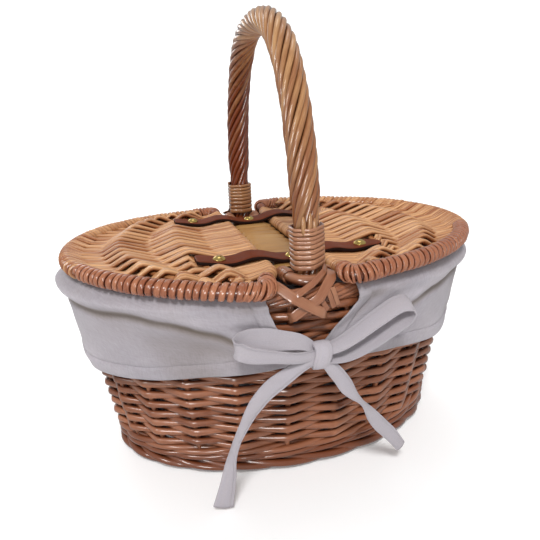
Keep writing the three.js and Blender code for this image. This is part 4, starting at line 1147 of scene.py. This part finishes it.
class HAMPER_OT_lids(bpy.types.Operator):
    """Weave both lids and lap their hoops"""

    bl_idname = "hamper.lids"
    bl_label = "Lids"

    def execute(self, context):
        sizes = context.scene.hamper_lids
        for name, mirror, seed in (("right_lid", 1, 41), ("left_lid", -1, 43)):
            rng = np.random.default_rng(seed)
            weave = Rods()
            for row in range(sizes.rods):
                self.bundle(weave, rng, row, mirror, sizes)
            y = np.linspace(-104.0, 104.0, 40)
            stops = np.array([lid_stops(place) for place in y])
            for rib in (2, 4):
                line = xyz(stops[:, rib] * mirror, y, HOOP_HEIGHT - 0.1)
                weave.add(lean_lid(line, mirror), (0, 0, 1), 5.0, 3.2, 0.2)
            hoop = hoop_line() * [mirror, 1, 1]
            smooth = lean_lid(resample(hoop, 400), mirror)
            rear = smooth[smooth[:, 1] > WRAP_REACH][20:]
            front = smooth[smooth[:, 1] < -WRAP_REACH][:-20]
            lap_hoop(weave, rng, rear, 4.4, radius=4.9, thick=1.9, tone=0.5, share=0.9, tilt=3.4)
            settle(weave.build(name + "_rods", willow("lid")), name, "willow", name + "_weave")
            border = Rods()
            straight = np.linspace(hoop[-1], hoop[0], 20)[1:-1]
            core = resample(np.vstack([hoop, straight]), 160, closed=True)
            x, y = np.abs(core[:, :2]).T
            thick = np.where((x < HINGE_STICK + 1.0) & (y < 106.0), 4.0, 9.0)
            thick = np.where((x > 100.0) & (y < WRAP_REACH + 4.0), 5.0, thick)
            border.add(lean_lid(core, mirror), (0, 0, 1), thick, thick, 0.1, closed=True)
            pitch = sizes.lap_pitch / MM
            lap_hoop(border, rng, front, pitch, radius=5.2, thick=2.0, tone=0.5, share=0.84, tilt=0.5)
            for end in (smooth[:24], smooth[-24:]):
                lap_hoop(border, rng, end, 2.5, radius=5.2, thick=1.7, tone=0.55, share=0.8, tilt=1.6)
                lap_hoop(border, rng, end[::-1], 3.4, radius=5.7, thick=1.5, tone=0.65, share=0.6, tilt=-2.6)
            settle(border.build(name + "_lapping", willow("lap")), name, "willow", name + "_hoop")
        return {"FINISHED"}

    def bundle(self, weave, rng, row, mirror, sizes):
        """Three strands that are woven together, spread where they pass over a rib."""
        y = (row - (sizes.rods - 1) / 2) * sizes.rod_pitch / MM
        over = row % 2 == 0
        middle = lid_rod(y, over, sizes, rng, mirror) * [mirror, 1, 1]
        stops = lid_stops(y)
        hint = np.zeros_like(middle)
        hint[:, 2] = 1
        stick, hoop = slice(STICK_POINTS), slice(-HOOP_POINTS, None)
        hint[stick] = (middle[stick] - [HINGE_STICK * mirror, 0, HOOP_HEIGHT]) * [1, 0, 1]
        if abs(y) <= WRAP_REACH:
            hint[hoop] = (middle[hoop] - [stops[-1] * mirror, 0, HOOP_HEIGHT]) * [1, 0, 1]
        if abs(y) > 100.0:
            keep = middle[:, 0] * mirror > HINGE_STICK + 6.0 + 1.2 * (abs(y) - 100.0)
            middle, hint = middle[keep], hint[keep]
        reach = np.abs(middle[:, 0])
        crest = np.exp(-(((reach - stops[2 if over else 4]) / 13.0) ** 2))
        end = smoothstep(-8.0, 5.0, reach - stops[-1])
        shade = rng.uniform(0.3, 0.85)
        tip = rng.uniform(0.2, 0.8)
        for strand in (-1, 0, 1):
            line = middle.copy()
            line[:, 1] += (strand + rng.uniform(-0.12, 0.12)) * (1.8 + 1.65 * crest)
            line[:, 2] += crest * (rng.uniform(-0.25, 0.25) - tip * strand) - 0.2 * abs(strand)
            wide = (2.15 + 1.25 * crest) * rng.uniform(0.92, 1.05)
            # Strands are painted darker where they turn down over the hoop, as painted shade
            tone = shade + rng.uniform(-0.45, 0.4) - 0.45 * end
            weave.add(lean_lid(line, mirror), hint, wide, sizes.rod_height / MM, tone, section=STRAND)


class HAMPER_OT_straps(bpy.types.Operator):
    """Cut the leather straps that hinge the lids to the bar"""

    bl_idname = "hamper.straps"
    bl_label = "Straps"

    def execute(self, context):
        sizes = context.scene.hamper_lids
        wide = sizes.strap_width / MM
        thick = sizes.strap_thickness / MM
        tip = sizes.strap_reach / MM
        leather = leather_finish()
        for end, y in (("front", -STRAP_PLACE), ("rear", STRAP_PLACE)):
            for name, mirror, corner, taper in (("right_lid", 1, 9.0, 4.5), ("left_lid", -1, 4.0, 0.9)):
                x, z = strap_profile(mirror).T
                line = smooth_line(xyz(x, y, z), 64)
                x = line[:, 0]
                inset = np.clip((x - (tip - corner)) / corner, 0, 1)
                narrow = wide - 2 * corner * (1 - np.sqrt(np.clip(1 - inset**2, 0, 1))) * 0.85
                narrow = narrow - taper * smoothstep(tip - 26, tip, x)
                strap = Rods()
                strap.add(line * [mirror, 1, 1], (0, 0, 1), narrow, thick, 0.5, section=STRIP)
                piece = strap.build(f"{end}_strap_{name}", leather)
                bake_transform(piece)
                if name == "right_lid":
                    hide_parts(f"{name}_{end}_strap", f"bar_{end}_strap")
                else:
                    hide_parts(f"{name}_{end}_strap")
        return {"FINISHED"}


# A rivet's head from its middle out and under its edge, as shares of its radius
RIVET_HEAD = [
    (0.0, 0.56), (0.3, 0.54), (0.58, 0.45), (0.8, 0.29),
    (0.94, 0.1), (1.0, -0.02), (0.98, -0.09), (0.36, -0.09),
]
RIVET_WASHER = 0.0009
# Rivets of each strap: name, body, place across, height of the head and of the washer under the weave
RIVETS = (
    ("bar", "basket", 0.0, 161.4, 149.6),
    ("right_lid", "right_lid", RIVET_PLACE, 164.2, 156.4),
    ("left_lid", "left_lid", -RIVET_PLACE, 164.5, 156.4),
)


class HAMPER_OT_rivets(bpy.types.Operator):
    """Turn the domed rivets and set them in the straps"""

    bl_idname = "hamper.rivets"
    bl_label = "Rivets"

    def execute(self, context):
        radius = context.scene.hamper_lids.rivet_radius
        brass = brass_finish()
        twins = []
        for name, body, x, seat, under in RIVETS:
            piece = self.turned(f"{name}_front_rivet_dome", radius, (under - seat) * MM)
            bpy.ops.transform.translate(value=(x * MM, -STRAP_PLACE * MM, seat * MM))
            bpy.ops.object.mode_set(mode="OBJECT")
            bpy.ops.object.shade_smooth_by_angle(angle=math.radians(50))
            piece.data.materials.append(brass)
            twins.append((name, body, piece.data.copy()))
            settle(piece, body, "brass", f"{name}_front_rivet")
        for name, body, mesh in twins:
            mesh.name = f"{name}_rear_rivet_dome"
            mesh.transform(Matrix.Translation((0, 2 * STRAP_PLACE * MM, 0)))
            settle(new_piece(mesh.name, mesh), body, "brass", f"{name}_rear_rivet")
        return {"FINISHED"}

    def turned(self, name, radius, drop):
        """A head, its pin and its washer, spun from their outline and left in edit mode."""
        mesh = bpy.data.meshes.new(name)
        outline = bmesh.new()
        for share, rise in RIVET_HEAD:
            outline.verts.new((share * radius, 0, rise * radius))
        below = drop - RIVET_WASHER
        for share, rise in ((0.34, drop), (0.86, drop), (0.86, below), (0.0, below)):
            outline.verts.new((share * radius, 0, rise))
        outline.verts.ensure_lookup_table()
        for first, second in zip(outline.verts[:-1], outline.verts[1:]):
            outline.edges.new((first, second))
        outline.to_mesh(mesh)
        outline.free()
        piece = new_piece(name, mesh)
        pick(piece)
        bpy.ops.object.mode_set(mode="EDIT")
        bpy.ops.mesh.select_all(action="SELECT")
        bpy.ops.mesh.spin(steps=32, angle=2 * math.pi, center=(0, 0, 0), axis=(0, 0, 1))
        weld(0.00002)
        return piece


# Cloth

# Distances of the skirt and of the pocket from the middle of the wall, where the slits are measured
SKIRT_LINE = 9.0
POCKET_LINE = -18.0
# Half width of the slits in the pocket
POCKET_SLIT = 24.0
# Points round each half of the liner, and the row that its map is measured along
LINER_COLUMNS = 221
MAP_ROW = 24
# Shares of the way out over the pocket's floor, and heights of its wall
POCKET_RINGS = (0.0, 0.3, 0.6, 0.85, 0.97)
POCKET_WALL = (14.0, 128.0)
# Heights of the pocket's floor, of the top of the skirt, and of the tie that draws it in
POCKET_FLOOR = 10.2
SKIRT_TOP = 147.0
TIE_HEIGHT = 110.0
# Creases drawn up from the knot: angle in degrees from level, reach, height and width
CREASES = [
    (14, 120, 1.5, 3.6), (31, 78, 2.1, 3.2), (47, 52, 1.8, 2.8),
    (166, 130, 1.6, 3.8), (150, 84, 2.2, 3.4), (136, 56, 1.7, 3.0),
]
# Height of the fold under the roll, at distances from the tie
FOLD_REACH = [36.0, 55.0, 69.0, 83.0, 94.0, 110.0, 130.0, 150.0, 168.0]
FOLD_HEIGHT = [114.0, 123.5, 129.0, 134.5, 137.2, 139.6, 139.8, 139.4, 139.0]
# Edges of the front slit: half widths at heights, to the right and to the left of the foot
SLIT_HEIGHTS = [100.0, 112.0, 124.5, 131.0, 143.0, 156.0]
SLIT_RIGHT = [3.4, 3.6, 12.5, 17.0, 26.0, 27.0]
SLIT_LEFT = [3.4, 3.8, 20.0, 27.5, 32.5, 34.5]
# The roll over the border: distances from the middle of the wall, and heights
ROLL = [
    (-15.0, 138.0), (-10.5, 145.0), (-7.6, 150.4), (-5.4, 153.4), (-2.6, 154.9),
    (0.4, 155.2), (3.4, 154.7), (6.6, 152.8), (8.8, 149.6),
]
# Heights above the hem of the rows that shape it
HEM_ROWS = [12.0, 11.2, 10.6, 10.0, 9.4, 8.6, 7.0, 4.6, 2.4, 0.8, 0.0]


def hem_height(theta, sizes):
    """Height of the skirt's hem, high beside the ties and low at the ends."""
    front, ends = sizes.hem_front / MM, sizes.hem_ends / MM
    return ends + (front - ends) * np.abs(np.sin(theta)) ** 3.4


def roll_fold(theta, height):
    """Where the roll of the skirt swells, and the fold under it that is drawn down to the tie."""
    x = np.abs(wall_points(theta, height, SKIRT_LINE)[..., 0])
    uneven = 0.8 * np.sin(x / 8.3) + 0.5 * np.sin(x / 4.7 + 1.0)
    above = height - np.interp(x, FOLD_REACH, FOLD_HEIGHT) - uneven
    clear = smoothstep(36.0, 52.0, x)
    swell = smoothstep(-1.5, 6.0, above) * (1 - smoothstep(9.0, 24.0, above))
    fold = np.exp(-(((above + 2.4) / 3.2) ** 2))
    return swell * clear, fold * clear


def skirt_depth(theta, height, hem, slit, sizes):
    """How far the skirt stands out: a roll under the lid, folds, creases drawn to the tie, and its hems."""
    fold = sizes.fold / MM
    down = np.clip((148.0 - height) / 60.0, 0, 1)
    point = wall_points(theta, height, SKIRT_LINE)
    x, rise = -np.sign(point[..., 1]) * point[..., 0], height - TIE_HEIGHT
    depth = sizes.stand_off / MM + 1.7 * np.exp(-(((height - 146.5) / 7.0) ** 2))
    depth = depth + (0.4 - 2.2 * np.cos(theta)) * np.cos(theta) ** 4 * smoothstep(76.0, 96.0, height)
    swell, tuck = roll_fold(theta, height)
    depth = depth + 1.9 * swell - 1.9 * tuck
    depth = depth + fold * down * (0.45 * np.sin(7 * theta + 1.1) + 0.3 * np.sin(13 * theta + 0.4))
    for angle, reach, tall, wide in CREASES:
        way = np.array([math.cos(math.radians(angle)), math.sin(math.radians(angle))])
        along = x * way[0] + rise * way[1]
        aside = rise * way[0] - x * way[1] + 1.5 * np.sin(along / 17.0 + angle)
        broad = wide + 0.05 * np.clip(along, 0, None)
        shape = np.exp(-((aside / broad) ** 2)) - 0.7 * np.exp(-(((aside - 1.7 * broad) / broad) ** 2))
        fade = smoothstep(5, 22, along) * (1 - smoothstep(0.6 * reach, reach, along))
        depth = depth + tall * shape * fade
    depth = depth - 1.8 * np.exp(-((np.hypot(x, rise) / 24.0) ** 2))
    ripple = np.sin(0.11 * x + 0.05 * height) * np.sin(0.13 * height + 0.04 * x + 1.0)
    ripple = ripple + 0.6 * np.sin(0.23 * x - 0.07 * height + 2.0) * np.sin(0.19 * height + 0.05 * x)
    depth = depth + 0.45 * ripple
    edge = np.minimum(height - hem, slit)
    depth = depth + (0.7 + 1.3 * np.cos(theta) ** 4) * (1 - smoothstep(8.8, 9.8, edge))
    return depth - 0.55 * np.exp(-(((edge - 10.3) / 0.8) ** 2))


def grid_faces(index):
    """Quads between neighbouring rows and columns of a table of point numbers."""
    corners = [index[:-1, :-1], index[:-1, 1:], index[1:, 1:], index[1:, :-1]]
    return np.stack(corners, axis=-1).reshape(-1, 4)


def cloth_mesh(name, tables, maps, tones, material):
    """A sheet from tables of points, with its own map and its tones of painted light and shade, joined where
    the tables meet.
    """
    mesh = bpy.data.meshes.new(name)
    points, faces, uvs, total = [], [], [], 0
    for table, chart in zip(tables, maps):
        rows, columns = table.shape[:2]
        index = np.arange(rows * columns).reshape(rows, columns)
        quads = grid_faces(index)
        uvs.append(chart.reshape(-1, 2)[quads.ravel()])
        points.append(table.reshape(-1, 3))
        faces.append(quads + total)
        total += rows * columns
    mesh.from_pydata((np.vstack(points) * MM).tolist(), [], np.vstack(faces).tolist())
    add_map(mesh, np.vstack(uvs))
    add_field(mesh, "tone", np.concatenate([shade.ravel() for shade in tones]))
    mesh.materials.append(material)
    piece = new_piece(name, mesh)
    pick(piece)
    bpy.ops.object.mode_set(mode="EDIT")
    weld(0.00005)
    bpy.ops.object.mode_set(mode="OBJECT")
    return piece


def thicken(piece, thickness):
    """Gives a sheet its thickness."""
    pick(piece)
    solid = piece.modifiers.new("Thickness", "SOLIDIFY")
    solid.thickness = thickness
    solid.offset = 0.0
    bpy.ops.object.modifier_apply(modifier=solid.name)
    piece.data.shade_smooth()


class HAMPER_OT_liner(bpy.types.Operator):
    """Sew the liner: a pocket in the bowl, a roll over the border and a skirt slit at the handle's feet"""

    bl_idname = "hamper.liner"
    bl_label = "Liner"

    def execute(self, context):
        sizes = context.scene.hamper_cloth
        share = np.linspace(0, 1, LINER_COLUMNS)
        share = share - 0.09 * np.sin(2 * math.pi * share)
        pocket = self.pocket(share)
        tables, maps, tones = [], [], []
        for mirror in (1, -1):
            edges = (SLIT_RIGHT, SLIT_LEFT)[::mirror]
            inner = pocket + self.roll(share, edges)
            skirt, painted_light_and_shade = self.skirt(share, edges, mirror, sizes)
            table = np.array(inner + skirt) * [mirror, 1, 1]
            # The skirt's tones are painted light and shade; the pocket and the roll get none
            tone = np.array([np.zeros_like(share)] * len(inner) + painted_light_and_shade)
            down = np.linalg.norm(np.diff(table, axis=0), axis=2).cumsum(axis=0)
            down = np.concatenate([np.zeros((1, LINER_COLUMNS)), down])
            wide = np.tile(reach_along(table[MAP_ROW]), (len(table), 1))
            chart = np.stack([wide, down], axis=-1) * MM + [0.0 if mirror > 0 else 0.7, 0.0]
            for store, field in ((tables, table), (maps, chart), (tones, tone)):
                store.append(field[:, ::mirror])
        step = np.linspace(0, 1, 9)[None, :, None]
        for edge in (0, -1):
            right, left = tables[0][: len(pocket), edge], tables[1][: len(pocket), -1 - edge]
            bridge = right[:, None, :] * (1 - step) + left[:, None, :] * step
            tables.append(bridge)
            maps.append(bridge[..., [0, 2]] * MM)
            tones.append(np.zeros(bridge.shape[:2]))
        piece = cloth_mesh("liner_cloth", tables, maps, tones, cotton_finish())
        thicken(piece, sizes.thickness)
        settle(piece, "basket", "cotton", "liner")
        return {"FINISHED"}

    def pocket(self, share):
        """Rows of one half of the pocket: out over its floor and up its wall."""
        theta = self.half(share, POCKET_SLIT, POCKET_SLIT, 10.0, POCKET_LINE)
        floor = wall_points(theta, POCKET_FLOOR, POCKET_LINE)
        rows = [floor * [ring, ring, 1] for ring in POCKET_RINGS]
        for height in np.linspace(*POCKET_WALL, 12):
            theta = self.half(share, POCKET_SLIT, POCKET_SLIT, height, POCKET_LINE)
            pleat = 0.7 * np.sin(17 * theta + height / 23) + 0.5 * np.sin(29 * theta - height / 17)
            rows.append(wall_points(theta, height, POCKET_LINE + pleat))
        return rows

    def roll(self, share, edges):
        """Rows of one half of the roll over the border, where the pocket's slits open to the skirt's."""
        rows = []
        for step, (offset, height) in enumerate(ROLL, start=1):
            slits = (POCKET_SLIT + (edge[-1] - POCKET_SLIT) * step / len(ROLL) for edge in edges)
            theta = self.half(share, *slits, height, offset)
            puff = 0.5 * np.sin(23 * theta) + 0.35 * np.sin(41 * theta + 1)
            rows.append(wall_points(theta, height - 0.25 + 0.25 * puff, offset + 0.5 * puff))
        return rows

    def skirt(self, share, edges, mirror, sizes):
        """Rows of one half of the skirt down to its hem, and the painted light and shade along them."""
        hem = hem_height(self.half(share, 20.0, 20.0, 130.0, SKIRT_LINE), sizes)
        drop = SKIRT_TOP + (hem + 13.0 - SKIRT_TOP) * np.linspace(0.0, 1.0, 30)[:, None]
        rows, painted_light_and_shade = [], []
        for height in np.vstack([drop, hem + np.array(HEM_ROWS)[:, None]]):
            before, after = (np.interp(height, SLIT_HEIGHTS, edge) for edge in edges)
            theta = self.half(share, before, after, height, SKIRT_LINE)
            x = wall_points(theta, height, SKIRT_LINE)[..., 0]
            slit = x - np.where(theta < 0, before, after)
            mirrored = theta if mirror > 0 else math.pi - theta
            depth = skirt_depth(mirrored, height, hem, slit, sizes)
            rows.append(wall_points(theta, height, depth))
            swell, tuck = roll_fold(mirrored, height)
            # Painted light and shade: lighter on the roll's swell and where the skirt stands out, darker in
            # the fold under the roll and where it lies in
            painted_light_and_shade.append(0.3 * swell - 0.85 * tuck + 0.16 * (depth - depth.mean()))
        return rows, painted_light_and_shade

    def half(self, share, before, after, height, offset):
        """Angles round one half of the oval between the edges of the slits before and after it."""
        reach = BASE_OVAL[0] + (RIM_OVAL[0] - BASE_OVAL[0]) * np.asarray(height) / RIM_HEIGHT + offset
        first = np.arcsin(np.clip(before / reach, 0, 1))
        second = np.arcsin(np.clip(after / reach, 0, 1))
        return -math.pi / 2 + first + (math.pi - first - second) * share


# Lines of the front bow's tapes from the knot out, and back again in the loops
LEFT_LOOP = [
    (-3.5, -118.8, 114.0), (-9.6, -120.5, 118.7), (-16.3, -121.2, 122.0), (-29.6, -121.6, 125.2),
    (-37.8, -121.6, 127.0), (-45.9, -121.0, 127.8), (-52.0, -121.4, 126.8), (-55.4, -123.6, 125.0),
    (-53.6, -126.2, 123.0), (-48.6, -127.6, 120.8), (-42.6, -128.0, 119.2), (-31.7, -127.6, 116.6),
    (-23.5, -126.8, 114.2), (-15.2, -124.8, 112.0), (-4.0, -120.6, 110.4),
]
RIGHT_LOOP = [
    (2.4, -119.0, 111.6), (12.2, -121.0, 115.1), (21.8, -122.0, 120.4), (36.2, -123.0, 129.6),
    (50.9, -123.5, 137.8), (57.6, -124.0, 138.6), (60.9, -124.0, 134.8), (57.4, -123.5, 129.0),
    (46.7, -122.5, 121.8), (32.1, -121.5, 113.2), (17.4, -120.5, 107.2), (3.5, -119.0, 106.0),
]
LEFT_TAIL = [
    (-2.0, -120.5, 108.2), (-13.7, -123.5, 106.4), (-23.4, -123.5, 101.0), (-36.8, -122.0, 91.2),
    (-46.6, -120.0, 78.7), (-53.5, -118.0, 64.8), (-58.0, -116.0, 53.6), (-61.7, -114.5, 40.3),
    (-64.6, -113.0, 24.2), (-69.3, -112.0, 3.4),
]
RIGHT_TAIL = [
    (0.8, -119.5, 105.4), (5.3, -120.8, 101.5), (12.5, -120.6, 92.0), (19.0, -119.2, 81.7),
    (28.4, -116.8, 69.6), (36.0, -114.2, 58.1), (46.9, -110.4, 43.1), (58.2, -106.2, 29.4),
    (68.6, -101.6, 14.6),
]
# Tapes: name, line, steps along it, and the way across a loop
TAPES = (
    ("left_loop", LEFT_LOOP, 72, (0.0, 0.3, 0.95)),
    ("right_loop", RIGHT_LOOP, 56, (0.0, 0.8, 0.6)),
    ("left_tail", LEFT_TAIL, 60, None),
    ("right_tail", RIGHT_TAIL, 60, None),
)
# Widths of tapes along their length, as shares of the tape
TAPE_WIDTHS = {
    "left_loop": [(0, 0.5), (0.14, 0.84), (0.3, 1.1), (0.46, 1), (0.6, 0.78), (0.75, 0.6), (1, 0.5)],
    "left_tail": [
        (0, 0.6), (0.1, 0.8), (0.25, 1.04), (0.38, 0.92), (0.5, 0.62),
        (0.6, 0.5), (0.72, 0.72), (0.86, 0.95), (1, 1.3),
    ],
    "right_tail": [
        (0, 0.6), (0.1, 0.9), (0.25, 1.0), (0.4, 0.66), (0.52, 0.8), (0.68, 0.98), (0.85, 0.95), (1, 0.8),
    ],
}
# Where a tail turns over: how far, at which share of its length, and over which share
TWISTS = {"left_tail": (1.1, 0.68, 0.13), "right_tail": (-1.05, 0.42, 0.12)}
# Middle of the knot, and half its depth and height
KNOT = (0.4, -118.4, 108.8)
KNOT_DEPTH = 4.6
KNOT_HEIGHT = 8.0


class HAMPER_OT_bows(bpy.types.Operator):
    """Tie the bows at the front and the rear"""

    bl_idname = "hamper.bows"
    bl_label = "Bows"

    def execute(self, context):
        sizes = context.scene.hamper_cloth
        cotton = cotton_finish()
        front = np.array([0.05, -1.0, 0.28])
        for side, flip in (("front", FRONT), ("rear", REAR)):
            for part, points, steps, across in TAPES:
                line = smooth_line(points, steps)
                share = np.linspace(0, 1, steps + 1)
                along = unit(np.gradient(line, axis=0))
                gather = 0.5 + 0.5 * np.sin(math.pi * share) ** 0.4
                if part in TAPE_WIDTHS:
                    gather = np.interp(share, *np.array(TAPE_WIDTHS[part]).T)
                if across is not None:
                    width = sizes.tape / MM
                    hint = np.cross(along, across)
                else:
                    width = sizes.tail / MM
                    turn, place, spread = TWISTS[part]
                    twist = turn * np.exp(-(((share - place) / spread) ** 2))
                    base = unit(front - np.sum(front * along, axis=1, keepdims=True) * along)
                    hint = base * np.cos(twist)[:, None] + np.cross(along, base) * np.sin(twist)[:, None]
                ribbon = Rods()
                # The tone paints the tapes lighter than the liner of the same cotton, as painted light
                ribbon.add(line * flip, hint * flip, width * gather, 1.3, 0.6, section=RIBBON)
                piece = ribbon.build(f"{side}_{part}_tape", cotton)
                settle(piece, "basket", "cotton", f"{side}_bow_{part}")
            self.knot(side, flip, cotton)
        return {"FINISHED"}

    def knot(self, side, flip, cotton):
        """The middle of a bow: tape drawn tight round the loops and the tails."""
        wrap = Rods()
        angle = once_round(40)
        hint = xyz(0.0, np.cos(angle) * KNOT_HEIGHT, np.sin(angle) * KNOT_DEPTH)
        # The tones of the knot's wraps and core paint them lighter than the liner, as painted light
        for lift, wide, tone in ((0.0, 11.6, 0.8), (0.5, 7.6, 0.9)):
            y = KNOT[1] + (KNOT_DEPTH + lift) * np.cos(angle)
            z = KNOT[2] + (KNOT_HEIGHT + 0.4 * lift) * np.sin(angle)
            x = KNOT[0] + 0.1 * (z - KNOT[2]) + 0.5 * np.sin(3 * angle)
            wrap.add(xyz(x, y, z) * flip, hint * flip, wide, 3.2, tone, section=FLAT, closed=True)
        core = np.linspace((-4.2, -118.2, 108.6), (2.6, -118.2, 108.8), 7)
        wrap.add(core * flip, (0, 0, 1), 8.4, 13.0, 0.5, section=FLAT)
        piece = wrap.build(f"{side}_knot", cotton)
        settle(piece, "basket", "cotton", f"{side}_bow_knot")


# Stage

# Lamps: name, kind, place, power, width (an angle for a sun), and what they light
LAMPS = (
    ("sun", "SUN", (-0.45, -1.4, 2.0), 2.3, math.radians(14), "diffuse"),
    ("top", "AREA", (0.1, 0.3, 1.6), 2.4, 0.7, "all"),
    ("side", "SUN", (-1.25, -0.9, 0.85), 1.2, math.radians(16), "glossy"),
    ("back", "AREA", (-0.45, 1.5, 0.72), 2.4, 0.6, "all"),
    ("front", "AREA", (-0.6, -1.25, 0.2), 9.0, 0.45, "glossy"),
)
# Height of the point that the lamps are aimed at
LAMP_AIM = 0.14
# The floor lies just under the foot and bends up behind the basket, from a distance on
FLOOR_LEVEL = -0.0002
FLOOR_BEND = 1.2
FLOOR_SLOPE = 1.6
# The photograph's view: place of the camera in metres, and its yaw, pitch and roll in degrees
CAMERA_PLACE = (-0.1145, -0.4273, 0.2747)
CAMERA_TURN = (-12.61, 15.57, -3.13)
# The lens in millimetres, and the shift of a picture that was cropped
CAMERA_LENS = 36.92
CAMERA_SHIFT = (0.0452, -0.0422)


class HAMPER_OT_stage(bpy.types.Operator):
    """Set out the floor, the lights and the camera"""

    bl_idname = "hamper.stage"
    bl_label = "Stage"

    def execute(self, context):
        bpy.ops.object.select_all(action="DESELECT")
        bpy.ops.mesh.primitive_grid_add(x_subdivisions=8, y_subdivisions=80, size=8.0, location=(0, 0, 0))
        floor = context.active_object
        floor.name = "floor"
        for corner in floor.data.vertices:
            back = max(0.0, corner.co.y - FLOOR_BEND)
            corner.co.z = FLOOR_LEVEL + FLOOR_SLOPE * back * back / (back + 1.0)
        floor.data.shade_smooth()
        material, tree, surface = shader("Pale Floor")
        place = tree.nodes.new("ShaderNodeTexCoord")
        cloud = noise_node(tree, place.outputs["Object"], 3.0, 3.0)
        pale = tuple(colours().floor)
        color = blend_node(tree, cloud, pale, tuple(0.97 * c for c in pale))
        tree.links.new(color, surface.inputs["Base Color"])
        surface.inputs["Roughness"].default_value = 0.8
        surface.inputs["Emission Color"].default_value = (1.0, 1.0, 1.0, 1.0)
        surface.inputs["Emission Strength"].default_value = 0.14
        floor.data.materials.append(material)
        floor.visible_glossy = False
        world = bpy.data.worlds.new("Studio")
        context.scene.world = world
        world.use_nodes = True
        sky = world.node_tree.nodes["Background"]
        sky.inputs["Color"].default_value = (1.0, 1.0, 1.0, 1.0)
        sky.inputs["Strength"].default_value = 0.44
        for lamp in LAMPS:
            self.lamp(context, *lamp)
        context.scene.view_settings.view_transform = "Standard"
        self.camera(context)
        return {"FINISHED"}

    def lamp(self, context, name, kind, spot, power, width, lights):
        """A lamp aimed at the middle of the basket, which lights all of it, or only its gloss or colours."""
        bpy.ops.object.light_add(type=kind, location=spot)
        lamp = context.active_object
        lamp.name = name
        lamp.data.energy = power
        lamp.visible_camera = False
        lamp.visible_diffuse = lights != "glossy"
        lamp.visible_glossy = lights != "diffuse"
        if kind == "SUN":
            lamp.data.angle = width
        else:
            lamp.data.shape = "DISK"
            lamp.data.size = width
        aim = Vector(spot) - Vector((0, 0, LAMP_AIM))
        lamp.rotation_euler = aim.to_track_quat("Z", "Y").to_euler()

    def camera(self, context):
        """The view of the photograph: its place, turn and frame."""
        yaw, pitch, roll = (math.radians(angle) for angle in CAMERA_TURN)
        right = np.array([math.cos(yaw), math.sin(yaw), 0.0])
        back = np.array([math.sin(yaw) * math.cos(pitch), -math.cos(yaw) * math.cos(pitch), math.sin(pitch)])
        up = np.cross(back, right)
        across = right * math.cos(roll) + up * math.sin(roll)
        upward = -right * math.sin(roll) + up * math.cos(roll)
        bpy.ops.object.camera_add()
        camera = context.active_object
        camera.name = "camera"
        turn = Matrix((across, upward, back)).transposed().to_4x4()
        camera.matrix_world = Matrix.Translation(CAMERA_PLACE) @ turn
        camera.data.sensor_width = 36.0
        camera.data.lens = CAMERA_LENS
        camera.data.shift_x, camera.data.shift_y = CAMERA_SHIFT
        camera.data.clip_start = 0.01
        context.scene.camera = camera


STEPS = (
    HAMPER_OT_stage,
    HAMPER_OT_bowl_base,
    HAMPER_OT_bowl_weave,
    HAMPER_OT_bowl_borders,
    HAMPER_OT_handle,
    HAMPER_OT_bindings,
    HAMPER_OT_centre_bar,
    HAMPER_OT_lids,
    HAMPER_OT_straps,
    HAMPER_OT_rivets,
    HAMPER_OT_liner,
    HAMPER_OT_bows,
)


class HAMPER_PT_panel(bpy.types.Panel):
    """Lists the steps of the hamper"""

    bl_idname = "HAMPER_PT_panel"
    bl_label = "Willow Hamper"
    bl_space_type = "VIEW_3D"
    bl_region_type = "UI"
    bl_category = "Hamper"

    def draw(self, context):
        for step in STEPS:
            self.layout.operator(step.bl_idname, text=step.bl_label)


GROUPS = {
    "hamper_bowl": BowlSizes,
    "hamper_handle": HandleSizes,
    "hamper_lids": LidSizes,
    "hamper_cloth": ClothSizes,
    "hamper_finishes": Finishes,
}


def register():
    """Adds the sizes, the steps and the panel to Blender."""
    for label, group in GROUPS.items():
        bpy.utils.register_class(group)
        setattr(bpy.types.Scene, label, PointerProperty(type=group))
    for item in (*STEPS, HAMPER_PT_panel):
        bpy.utils.register_class(item)


def unregister():
    """Takes them away again."""
    for item in (HAMPER_PT_panel, *reversed(STEPS)):
        bpy.utils.unregister_class(item)
    for label, group in reversed(GROUPS.items()):
        delattr(bpy.types.Scene, label)
        bpy.utils.unregister_class(group)


def main():
    """Adds the steps to Blender and runs every step in turn."""
    register()
    for step in STEPS:
        family, name = step.bl_idname.split(".")
        getattr(getattr(bpy.ops, family), name)()


if __name__ == "__main__":
    main()
